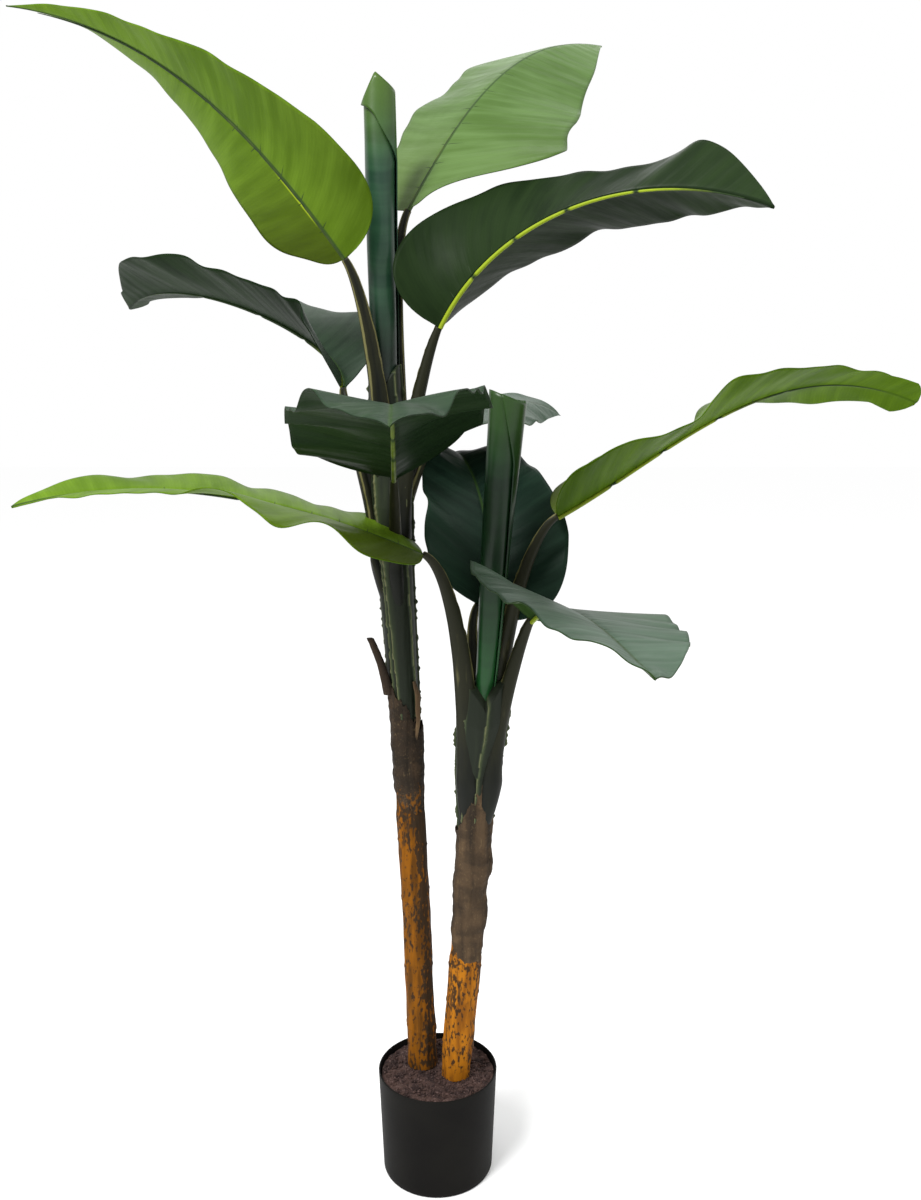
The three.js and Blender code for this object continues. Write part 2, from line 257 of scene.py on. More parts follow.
class ShapeTree:
    """A Geometry Nodes tree with named inputs, baked into plain meshes."""

    def __init__(self, name: str) -> None:
        """Starts a tree that takes and gives one geometry.

        Args:
            name: the tree's name.
        """
        self.tree = bpy.data.node_groups.new(name, "GeometryNodeTree")
        self.tree.interface.new_socket("Geometry", in_out="INPUT", socket_type="NodeSocketGeometry")
        self.tree.interface.new_socket("Geometry", in_out="OUTPUT", socket_type="NodeSocketGeometry")
        self.start = self.tree.nodes.new("NodeGroupInput")
        self.end = self.tree.nodes.new("NodeGroupOutput")

    def given(self, name: str, kind: str, value: Any) -> bpy.types.NodeSocket:
        """Adds a named input and returns its socket inside the tree.

        Args:
            name: the input's name.
            kind: its socket type.
            value: what it is when nothing is set, or None.

        Returns:
            The socket inside the tree.
        """
        item = self.tree.interface.new_socket(name, in_out="INPUT", socket_type=kind)
        if value is not None:
            item.default_value = value
        return self.start.outputs[name]

    def node(
        self, kind: str, inputs: dict[Any, Any], settings: dict[str, Any] | None = None, out: Any = 0
    ) -> bpy.types.NodeSocket:
        """Adds a node as add_node does."""
        return add_node(self.tree, kind, settings or {}, inputs, out)

    def close(self, shape: bpy.types.NodeSocket, material: bpy.types.NodeSocket) -> None:
        """Ends the tree: smooth faces, real instances, one material.

        Args:
            shape: the geometry so far.
            material: the socket that gives the material.
        """
        smooth = self.node("GeometryNodeSetShadeSmooth", {0: shape})
        real = self.node("GeometryNodeRealizeInstances", {0: smooth})
        painted = self.node("GeometryNodeSetMaterial", {"Geometry": real, "Material": material})
        self.tree.links.new(painted, self.end.inputs[0])

    def bake(self, source: bpy.types.Object, values: dict[str, Any]) -> bpy.types.Object:
        """Runs the tree on an object and keeps the result as its plain mesh.

        Args:
            source: the object that carries the points or faces the tree works on.
            values: the tree's inputs, by name.

        Returns:
            The same object with its new mesh and no modifier.
        """
        modifier = source.modifiers.new("shape", "NODES")
        modifier.node_group = self.tree
        for item in self.tree.interface.items_tree:
            if item.in_out == "INPUT" and item.name in values:
                modifier[item.identifier] = values[item.name]
        evaluated = source.evaluated_get(bpy.context.evaluated_depsgraph_get())
        mesh = bpy.data.meshes.new_from_object(evaluated)
        source.modifiers.clear()
        source.data = mesh
        return source


def tube_tree() -> ShapeTree:
    """Round closed tubes along polylines whose points carry a girth.

    Returns:
        The tree, with inputs Sides and Material.
    """
    made = ShapeTree("tubes_along_lines")
    sides = made.given("Sides", "NodeSocketInt", 8)
    material = made.given("Material", "NodeSocketMaterial", None)
    girth = made.node("GeometryNodeInputNamedAttribute", {"Name": "girth"}, {"data_type": "FLOAT"})
    line = made.node("GeometryNodeMeshToCurve", {"Mesh": made.start.outputs[0]})
    ring = made.node("GeometryNodeCurvePrimitiveCircle", {"Resolution": sides, "Radius": 1.0})
    sized = made.node("GeometryNodeSetCurveRadius", {"Curve": line, "Radius": girth})
    tube = made.node(
        "GeometryNodeCurveToMesh",
        {"Curve": sized, "Profile Curve": ring, "Fill Caps": True, "Scale": girth},
    )
    made.close(tube, material)
    return made


def crumb_tree(name: str) -> ShapeTree:
    """Small lumps of random size and turn, dealt over faces.

    Args:
        name: the tree's name.

    Returns:
        The tree, with inputs Density, Smallest, Largest, Seed and Material.
    """
    made = ShapeTree(name)
    density = made.given("Density", "NodeSocketFloat", 1000.0)
    small = made.given("Smallest", "NodeSocketFloat", 0.001)
    large = made.given("Largest", "NodeSocketFloat", 0.003)
    seed = made.given("Seed", "NodeSocketInt", 1)
    material = made.given("Material", "NodeSocketMaterial", None)
    faces = {"Mesh": made.start.outputs[0], "Density": density, "Seed": seed}
    points = made.node("GeometryNodeDistributePointsOnFaces", faces)
    lump = made.node("GeometryNodeMeshIcoSphere", {"Radius": 1.0, "Subdivisions": 1})
    size = made.node(
        "FunctionNodeRandomValue", {2: small, 3: large, "Seed": seed}, {"data_type": "FLOAT"}, 1
    )
    turned_by = made.node(
        "FunctionNodeRandomValue",
        {0: (0.0, 0.0, 0.0), 1: (TURN, TURN, TURN), "Seed": seed},
        {"data_type": "FLOAT_VECTOR"},
    )
    placed = made.node(
        "GeometryNodeInstanceOnPoints",
        {"Points": points, "Instance": lump, "Rotation": turned_by, "Scale": size},
    )
    made.close(placed, material)
    return made


# ------------------------------------------------------------------ meshes
def store(mesh: bpy.types.Mesh, values: dict[str, np.ndarray]) -> None:
    """Stores numbers for each vertex as attributes of a mesh."""
    for key, numbers in values.items():
        layer = mesh.attributes.new(key, "FLOAT", "POINT")
        layer.data.foreach_set("value", np.asarray(numbers, np.float32))


def mesh_object(
    name: str,
    points: np.ndarray,
    faces: Sequence[Sequence[int]],
    values: dict[str, np.ndarray] | None = None,
) -> bpy.types.Object:
    """Makes a smooth mesh object.

    Args:
        name: the object's name.
        points: vertex places, one row each.
        faces: vertex numbers of each face, anticlockwise seen from outside.
        values: numbers for each vertex, stored as attributes.

    Returns:
        The linked object.
    """
    mesh = bpy.data.meshes.new(name)
    mesh.from_pydata([tuple(p) for p in points.tolist()], [], [list(f) for f in faces])
    mesh.shade_smooth()
    store(mesh, values or {})
    return link(name, mesh)


def grid_faces(rows: int, columns: int, start: int = 0, closed: bool = False) -> list[list[int]]:
    """Quads of a grid of points, facing columns-crossed-with-rows.

    Args:
        rows: count of point rows.
        columns: count of points in a row.
        start: number of the first point.
        closed: whether each row joins its last point to its first.

    Returns:
        The faces.
    """
    faces = []
    for row in range(rows - 1):
        for column in range(columns if closed else columns - 1):
            here = start + row * columns + column
            beside = start + row * columns + (column + 1) % columns
            faces.append([here, beside, beside + columns, here + columns])
    return faces


def sheet_mesh(
    name: str,
    upper: np.ndarray,
    lower: np.ndarray,
    values: dict[str, np.ndarray],
    materials: Sequence[bpy.types.Material],
) -> bpy.types.Object:
    """A closed thin shell between two grids of points.

    Args:
        name: the object's name.
        upper: rows by columns by 3 points of the upper side.
        lower: the same for the lower side.
        values: a number for each grid point, shared by both sides.
        materials: the upper side's and the lower side's material, or one for both.

    Returns:
        The shell.
    """
    rows, columns = upper.shape[:2]
    count = rows * columns
    top = grid_faces(rows, columns)
    under = [face[::-1] for face in grid_faces(rows, columns, count)]
    rim = (
        list(range(columns))
        + [row * columns + columns - 1 for row in range(1, rows)]
        + [(rows - 1) * columns + column for column in range(columns - 2, -1, -1)]
        + [row * columns for row in range(rows - 2, 0, -1)]
    )
    edge = [[b, a, a + count, b + count] for a, b in zip(rim, rim[1:] + rim[:1])]
    points = np.concatenate([upper.reshape(-1, 3), lower.reshape(-1, 3)])
    both = {key: np.concatenate([v.ravel(), v.ravel()]) for key, v in values.items()}
    piece = mesh_object(name, points, top + under + edge, both)
    for material in materials:
        piece.data.materials.append(material)
    if len(materials) > 1:
        index = np.zeros(len(piece.data.polygons), np.int32)
        index[len(top):] = 1
        piece.data.polygons.foreach_set("material_index", index)
    return piece


def limb_mesh(
    name: str,
    rings: np.ndarray,
    material: bpy.types.Material,
    values: dict[str, np.ndarray] | None = None,
) -> bpy.types.Object:
    """A closed solid through rings of points.

    Args:
        name: the object's name.
        rings: rings by sides by 3 points, each ring anticlockwise seen from the last one.
        material: what it is made of.
        values: a number for each ring point, stored as attributes.

    Returns:
        The linked solid.
    """
    rows, sides = rings.shape[:2]
    points = np.concatenate([rings.reshape(-1, 3), rings[0].mean(0)[None], rings[-1].mean(0)[None]])
    faces = grid_faces(rows, sides, closed=True)
    foot, tip, last = rows * sides, rows * sides + 1, (rows - 1) * sides
    for side in range(sides):
        beside = (side + 1) % sides
        faces.append([foot, beside, side])
        faces.append([tip, last + side, last + beside])
    numbers = {
        key: np.concatenate([v.ravel(), [v[0].mean()], [v[-1].mean()]])
        for key, v in (values or {}).items()
    }
    piece = mesh_object(name, points, faces, numbers)
    piece.data.materials.append(material)
    return piece


def lines_object(
    name: str,
    lines: Sequence[np.ndarray],
    girths: Sequence[np.ndarray],
    shades: Sequence[np.ndarray],
) -> bpy.types.Object:
    """Makes polylines for the tube tree.

    Args:
        name: the object's name.
        lines: the points of each polyline, one row each.
        girths: the tube's radius at each point.
        shades: the tone number at each point.

    Returns:
        The linked object.
    """
    points, edges, count = [], [], 0
    for line in lines:
        points.append(line)
        edges.extend([count + k, count + k + 1] for k in range(len(line) - 1))
        count += len(line)
    mesh = bpy.data.meshes.new(name)
    mesh.from_pydata([tuple(p) for p in np.concatenate(points).tolist()], edges, [])
    store(mesh, {"girth": np.concatenate(girths), "shade": np.concatenate(shades)})
    return link(name, mesh)


def install(piece: bpy.types.Object, slot: str, *nodes: str) -> bpy.types.Object:
    """Lets a piece ride on the plant and stand for its solids.

    Args:
        piece: the finished piece.
        slot: what kind of piece it is; not used.
        *nodes: the solids that it stands for.

    Returns:
        The same piece.
    """
    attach(piece, BODY)
    if nodes:
        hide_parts(*nodes)
    LOG.info("%s: %d faces, stands for %s", piece.name, len(piece.data.polygons), nodes or "-")
    return piece


# ------------------------------------------------------------------ finishes
PATCH_EDGE = (0.52, 0.60)


@dataclass(frozen=True)
class LeafFinish:
    """Coated leaf fabric with pressed veins, for one side of a blade."""

    name: str
    tint: Rgb
    shade: Rgb
    rib: Rgb
    foot_tint: Rgb
    roughness: float = 0.42
    vein_pitch: float = 0.0042
    vein_depth: float = 0.0012
    gloss: float = 0.06
    ridges: float = 3.0
    glint: float = 0.0
    glint_span: tuple[float, float] = (0.045, 0.14)
    far: Rgb = (0.1, 0.2, 0.05)
    fade: tuple[float, float] = (0.25, 1.0)
    foot_reach: float = 0.26

    RIDGES_PER_METRE = 55.0
    RIDGE_DRIFT = 9.0
    BROAD_PITCH = 5.3
    RIB_EDGE = (0.0010, 0.0026)
    GLINT_INNER = (0.0018, 0.0026)
    GLINT_OUTER = (0.0044, 0.0058)

    def material(self) -> bpy.types.Material:
        """Builds the side's material from the blade's vein and off_rib numbers.

        Returns:
            The material.
        """
        graph = Graph(self.name)
        vein = graph.attribute("vein")
        side = graph.attribute("off_rib")
        off = abs(side)
        blotch = graph.noise(7.0, detail=3.0)
        grain = graph.noise(45.0, detail=2.0)
        stripe = (vein * (TURN / self.vein_pitch) + grain * 2.0).sine()
        broad = (vein * (TURN / (self.vein_pitch * self.BROAD_PITCH)) + blotch * 9.0).sine()
        along_veins = {0: vein * self.RIDGES_PER_METRE, 1: side * self.RIDGE_DRIFT}
        ruled = graph.node("ShaderNodeCombineXYZ", {}, along_veins)
        ridge = graph.node("ShaderNodeTexNoise", {}, {"Vector": ruled, "Scale": 1.0, "Detail": 4.0})
        mid = graph.mix((blotch * 0.5 + ridge * 0.5).rise(0.38, 0.62), self.shade, self.tint)
        colour = graph.mix(vein.rise(self.fade[0], self.fade[1]), mid, self.far)
        lined = graph.mix(stripe.rise(0.2, 1.0) * 0.16 + broad.rise(0.0, 1.0) * 0.14, colour, self.shade)
        lean = 1.0 - side.rise(-0.002, 0.002) * 0.65
        near_foot = graph.mix((1.0 - vein.rise(-0.02, self.foot_reach)) * lean * 0.85, lined, self.foot_tint)
        # the strip along the rib: on the upper side partly the rib's own dark green, partly painted shadow of
        # the midrib behind the blade
        rib = 1.0 - off.rise(*self.RIB_EDGE)
        painted = graph.mix(rib * 0.85, near_foot, self.rib)
        # painted highlight: a strip in the rib's bright colour just left of the rib, along glint_span; on
        # tall_leaf_left it marks the bright rib near the base instead
        if self.glint:
            (near, inner), (outer, far) = self.GLINT_INNER, self.GLINT_OUTER
            strip = side.rise(-far, -outer) * (1.0 - side.rise(-inner, -near))
            low, high = self.glint_span
            along = vein.rise(low, low + 0.025) * (1.0 - vein.rise(high - 0.03, high))
            painted = graph.mix(strip * along * self.glint, painted, RIB_UNDER)
        rough = grain * 0.12 + blotch * 0.1 + (self.roughness - 0.11)
        pucker = graph.noise(17.0, detail=2.0)
        height = broad * 0.25 + ridge * self.ridges + blotch * 1.6 + pucker * 3.0
        normal = graph.bump(height, 0.35, self.vein_depth)
        return graph.finish(painted, rough, normal, Specular_IOR_Level=self.gloss)


@dataclass(frozen=True)
class BarkFinish:
    """Printed fibrous bark: orange, with dark streaks and a dark top, plus painted shade over its right side,
    away from the key light.
    """

    name: str
    bright: Rgb
    dull: Rgb
    dark: Rgb
    dark_from: float
    dark_to: float
    right_side_shade_from: float
    lean: tuple[float, float]
    right_side_shade: float
    dark_share: float = 0.06

    def material(self) -> bpy.types.Material:
        """Builds the bark; lean is the axis's shift at the soil and its slope.

        Returns:
            The material.
        """
        graph = Graph(self.name)
        fibre = graph.noise(95.0, (1, 1, 0.16), 5.0)
        patch = graph.noise(30.0, (1, 1, 0.42), 4.0)
        mark = graph.noise(150.0, (1, 1, 0.22), 2.0)
        level = graph.height()
        across = graph.node("ShaderNodeSeparateXYZ", {}, {0: graph.place}, 0)
        right = across - (level - SOIL_LEVEL) * self.lean[1] - self.lean[0]
        high = level.rise(self.dark_from, self.dark_to)
        # painted shade: darker patches grow over the right side of the trunk, where it turns from the key
        # light
        side = right.rise(self.right_side_shade_from - 0.004, self.right_side_shade_from + 0.005) * self.right_side_shade
        mixed = graph.mix(fibre.rise(0.36, 0.62), self.dull, self.bright)
        cover = graph.print_spots() + high * self.dark_share + side * 0.12
        patched = graph.mix(cover.rise(*PATCH_EDGE) * 0.92, mixed, self.dark)
        marked = graph.mix(mark.rise(0.60, 0.68) * 0.7, patched, self.dark)
        height = fibre + mark * 0.4 + patch * 0.6
        return graph.finish(marked, 0.75, graph.bump(height, 0.8, 0.0016), Specular_IOR_Level=0.08)


@dataclass(frozen=True)
class FibreFinish:
    """Dry fibre: long streaks of two or three tones."""

    name: str
    light: Rgb
    middle: Rgb
    dark: Rgb
    scale: float = 60.0
    stretch: Point = (1, 1, 0.12)
    roughness: float = 0.8
    depth: float = 0.0026
    specks: float = 0.5
    rust: Rgb | None = None
    rust_top: float = 0.0

    def material(self) -> bpy.types.Material:
        """Builds the streaked material.

        Returns:
            The material.
        """
        graph = Graph(self.name)
        fibre = graph.noise(self.scale, self.stretch, 4.0)
        patch = graph.noise(20.0, (1, 1, 0.5), 3.0)
        low = graph.mix(fibre.rise(0.32, 0.55), self.dark, self.middle)
        streaked = graph.mix((fibre * 0.6 + patch * 0.5).rise(0.56, 0.72), low, self.light)
        speck = graph.noise(480.0, (1, 1, 0.6), 3.0)
        colour = graph.mix(speck.rise(0.56, 0.80) * self.specks, streaked, srgb(118, 100, 70))
        if self.rust:
            higher = graph.height().rise(self.rust_top - 0.08, self.rust_top)
            cover = (graph.print_spots() + higher * 0.22 + 0.09).rise(*PATCH_EDGE)
            crumple = graph.noise(30.0, (1, 1, 1.7), 3.0)
            # painted shade: a dark tone laid along the crumple wrinkles, standing in for shade in their folds
            crumple_shaded = graph.mix(crumple.rise(0.46, 0.62) * 0.55, colour, self.dark)
            colour = graph.mix(cover, self.rust, crumple_shaded)
            fibre = fibre * 0.6 + crumple * 2.2
        height = fibre + patch * 0.5 + speck * 0.3
        return graph.finish(colour, self.roughness, graph.bump(height, 0.9, self.depth),
                            Specular_IOR_Level=0.15)


@dataclass(frozen=True)
class ShadedFinish:
    """Two tones dealt by the piece's own shade number, with faint noise."""

    name: str
    plain: Rgb
    dark: Rgb
    roughness: float
    grain: float = 80.0
    stretch: Point = (1, 1, 0.2)
    depth: float = 0.0004
    edge: Rgb | None = None
    speckle: float = 0.5

    def material(self) -> bpy.types.Material:
        """Builds the material; shade 0 is plain, 1 is dark and below 0 is the edge's tone.

        Returns:
            The material.
        """
        graph = Graph(self.name)
        fine = graph.noise(self.grain, self.stretch, 3.0)
        share = graph.attribute("shade") + (fine - 0.5) * self.speckle
        colour = graph.mix(share.rise(0.0, 1.0), self.plain, self.dark)
        if self.edge:
            colour = graph.mix((0.0 - share).rise(0.1, 0.6), colour, self.edge)
        rough = fine * 0.15 + (self.roughness - 0.07)
        return graph.finish(colour, rough, graph.bump(fine, 0.4, self.depth), Specular_IOR_Level=0.16)


# ------------------------------------------------------------------ leaves
class Age(Enum):
    """How old a leaf is; its value is passed to install as the slot."""

    YOUNG = "young_leaf"
    MATURE = "mature_leaf"


@dataclass(frozen=True)
class Tone:
    """The chip colours of a leaf: its upper side, its darker veins, and its underside."""

    upper: Rgb
    upper_shade: Rgb
    under: Rgb
    under_shade: Rgb
    foot: Rgb
    lighter: float = 1.2

    def far(self, tint: Rgb) -> Rgb:
        """The tint as it is at the leaf's tip."""
        return tuple(min(1.0, channel * self.lighter) for channel in tint)


@dataclass(frozen=True)
class Swell:
    """A local change of one half: side -1 or 1, where, how long, wider by, lifted by degrees."""

    side: int
    at: float
    spread: float
    widen: float
    lift: float


BRIGHT = Tone(srgb(94, 124, 30), srgb(72, 100, 14), srgb(82, 110, 22), srgb(58, 84, 8), srgb(54, 66, 0), 1.4)
PALE = Tone(srgb(88, 115, 64), srgb(68, 94, 42), srgb(78, 104, 52), srgb(60, 84, 36), srgb(84, 104, 54))
DARK = Tone(srgb(46, 64, 46), srgb(33, 48, 35), srgb(28, 44, 22), srgb(17, 31, 14), srgb(38, 54, 38))
DEEP = Tone(srgb(34, 54, 42), srgb(18, 34, 26), srgb(32, 47, 23), srgb(21, 34, 16), srgb(28, 46, 34), 1.5)
GREY = Tone(srgb(76, 97, 80), srgb(58, 78, 61), srgb(45, 67, 29), srgb(33, 52, 22), srgb(72, 92, 68), 0.9)
RIB_UNDER = srgb(136, 154, 30)
# upper-side rib line: the rib's dark green, partly painted shadow of the midrib behind the blade
RIB_UPPER_GREEN_AND_SHADOW = srgb(44, 66, 30)


@dataclass(frozen=True)
class LeafShape:
    """One leaf: stalk foot, midrib, facing, widths and the lift of each half in degrees."""

    name: str
    foot: Point
    foot_radius: float
    rib: tuple[Point, Point, Point, Point]
    face: tuple[Point, Point]
    width: float
    left: Point
    right: Point
    curl: tuple[float, float]
    taper: float
    age: Age
    tone: Tone
    ripple: float = 0.004
    swells: tuple[Swell, ...] = ()
    rib_knots: tuple[float, ...] = (0.16, 0.31, 0.47, 0.66)
    rib_glow: tuple[float, float] = (0.12, 0.5)
    # glint: strength of a painted highlight strip beside the rib
    glint: float = 0.0
    glint_span: tuple[float, float] = (0.045, 0.14)
    tip_width: float = 0.005

    ROWS = 150
    COLUMNS = 22
    WIDEST_AT = 0.23
    FOOT_WIDTH = 0.010
    RIB_END = 0.93
    GROOVE = 0.0012
    VEIN_LEAN = 0.30
    VEIN_BOW = 1.2
    WAVES = ((2.6, 0.9), (4.4, 0.7), (7.2, 0.42), (11.5, 0.2))
    STALK_RISE = 0.30
    STALK_RUN_IN = 0.16

    def rib_points(self, t: np.ndarray) -> np.ndarray:
        """Points of the midrib, the cubic through its four points.

        Args:
            t: places from base to tip, 0 to 1.

        Returns:
            One point for each place.
        """
        knots = (0.0, 1 / 3, 2 / 3, 1.0)
        out = np.zeros((len(t), 3))
        for i, knot in enumerate(knots):
            weight = np.ones_like(t)
            for j, other in enumerate(knots):
                if i != j:
                    weight = weight * (t - other) / (knot - other)
            out += weight[:, None] * np.array(self.rib[i])
        return out

    def frames(self, t: np.ndarray) -> tuple[np.ndarray, np.ndarray, np.ndarray]:
        """Unit tangent, upward normal and rightward side along the midrib.

        Args:
            t: places from base to tip, 0 to 1.

        Returns:
            Tangents, normals and sides, one row for each place.
        """
        step = 0.001
        tangent = unit(self.rib_points(t + step) - self.rib_points(t - step))
        first, last = (unit(np.array(f, float)) for f in self.face)
        normal = first + (last - first) * t[:, None]
        normal = unit(normal - (normal * tangent).sum(1)[:, None] * tangent)
        return tangent, normal, np.cross(tangent, normal)

    def length(self) -> float:
        """Length of the midrib."""
        points = self.rib_points(np.linspace(0, 1, 60))
        return float(np.linalg.norm(np.diff(points, axis=0), axis=1).sum())

    def half_width(self, t: np.ndarray, side: int) -> np.ndarray:
        """Half the blade's width on one side, with its swells.

        Args:
            t: places along the midrib.
            side: -1 for the left half and 1 for the right.

        Returns:
            Widths in metres.
        """
        rounded = (1 - (1 - np.clip(t / self.WIDEST_AT, 0, 1)) ** 3) ** 0.45
        tapered = 1 - np.clip((t - self.WIDEST_AT) / (1 - self.WIDEST_AT), 0, 1) ** self.taper
        edge = np.where(t < self.WIDEST_AT, rounded, tapered)
        ends = (self.FOOT_WIDTH + (self.tip_width - self.FOOT_WIDTH) * t) / 2
        ends = ends * np.sqrt(np.clip((1 - t) / 0.03, 0.02, 1))
        width = np.maximum(ends, self.width / 2 * edge)
        for swell in self.swells:
            if swell.side == side:
                width = width + swell.widen * bell(t, swell.at, swell.spread)
        return np.maximum(ends, width)

    def lift(self, t: np.ndarray, side: int) -> np.ndarray:
        """Lift of one half off flat, in degrees, with its swells.

        Args:
            t: places along the midrib.
            side: -1 for the left half and 1 for the right.

        Returns:
            Angles in degrees.
        """
        first, middle, last = self.left if side < 0 else self.right
        angle = first * (1 - t) * (1 - 2 * t) + middle * 4 * t * (1 - t) + last * t * (2 * t - 1)
        for swell in self.swells:
            if swell.side == side:
                angle = angle + swell.lift * bell(t, swell.at, swell.spread)
        return angle

    def half(self, t: np.ndarray, q: np.ndarray, side: int) -> dict[str, np.ndarray]:
        """One half of the blade.

        Args:
            t: places along the midrib.
            q: rising shares of the half width, from 0 at the rib to 1 at the rim.
            side: -1 for the left half and 1 for the right.

        Returns:
            Grids of points, facing, vein (metres along the rib where the vein starts) and off_rib
            (metres from the rib).
        """
        _, normal, across = self.frames(t)
        lift = self.lift(t, side)
        curl = self.curl[0 if side < 0 else 1]
        width = self.half_width(t, side)
        place = self.rib_points(t)
        points, facing = [place], []
        for c, share in enumerate(q):
            middle = share if c == 0 else (share + q[c - 1]) / 2
            angle = np.radians(lift + curl * middle)[:, None]
            out = side * np.cos(angle) * across + np.sin(angle) * normal
            facing.append(np.cos(angle) * normal - side * np.sin(angle) * across)
            if c:
                place = place + out * (width * (share - q[c - 1]))[:, None]
                points.append(place)
        points, facing = np.stack(points, 1), np.stack(facing, 1)
        off = width[:, None] * q[None, :]
        vein = t[:, None] * self.length() - self.VEIN_LEAN * off - self.VEIN_BOW * off**2
        points = points + facing * self.waves(t, q, off, side)[..., None]
        return {"points": points, "facing": facing, "vein": vein, "off_rib": off}

    def waves(self, t: np.ndarray, q: np.ndarray, off: np.ndarray, side: int) -> np.ndarray:
        """Height of the blade's waves and of the groove over the rib.

        Args:
            t: places along the midrib.
            q: shares of the half width.
            off: metres from the rib at each grid point.
            side: -1 for the left half and 1 for the right.

        Returns:
            A height for each grid point.
        """
        draw = random.Random(f"{self.name}{side}")
        height = np.zeros((len(t), len(q)))
        for turns, size in self.WAVES:
            phase = draw.uniform(0, TURN)
            size *= draw.uniform(0.7, 1.2)
            slant = t[:, None] - 0.10 * q[None, :]
            height += size * np.sin(TURN * turns * slant + phase) * q[None, :] ** (1.2 + 0.05 * turns)
        fade = np.sin(np.pi * np.clip(t * 0.93 + 0.04, 0, 1)) ** 0.6
        groove = -self.GROOVE * bell(off, 0.0, 0.004)
        return height * self.ripple * fade[:, None] + groove

    def stalk_path(self, t: np.ndarray) -> np.ndarray:
        """The stalk's centre line, upright at the stem and in line with the midrib at its end.

        Args:
            t: places from the foot to the blade, 0 to 1.

        Returns:
            One point for each place.
        """
        foot, base = np.array(self.foot), np.array(self.rib[0])
        reach = float(np.linalg.norm(base - foot))
        tangent = self.frames(np.array([0.0]))[0][0]
        upright = foot + np.array([0, 0, reach * self.STALK_RISE])
        hand = (foot, upright, base - tangent * reach * self.STALK_RUN_IN, base)
        s = 1 - t
        weights = (s**3, 3 * s**2 * t, 3 * s * t**2, t**3)
        return sum(w[:, None] * p for w, p in zip(weights, hand))


def leaf(name: str, foot: Point, foot_radius: float, rib: tuple, face: tuple, width: float,
         left: Point, right: Point, curl: tuple, taper: float, age: Age, tone: Tone,
         **more: Any) -> LeafShape:
    """A leaf from sizes in millimetres, as on a pattern sheet.

    Args:
        name: node name.
        foot: where the stalk leaves the stem.
        foot_radius: the stalk's radius there.
        rib: four points of the midrib.
        face: the upper side's facing at base and tip.
        width: full width of the blade.
        left: lift of the left half at base, middle and tip, in degrees.
        right: the same for the right half.
        curl: further lift from rib to rim, left and right.
        taper: how late the blade narrows to its tip.
        age: young or mature.
        tone: its colours.
        **more: ripple, swells, rib_knots or rib_glow.

    Returns:
        The leaf in metres.
    """
    def metres(point: Sequence[float]) -> Point:
        """A point in metres."""
        return point[0] / 1000, point[1] / 1000, point[2] / 1000

    return LeafShape(name, metres(foot), foot_radius / 1000, tuple(metres(p) for p in rib), face,
                     width / 1000, left, right, curl, taper, age, tone, **more)


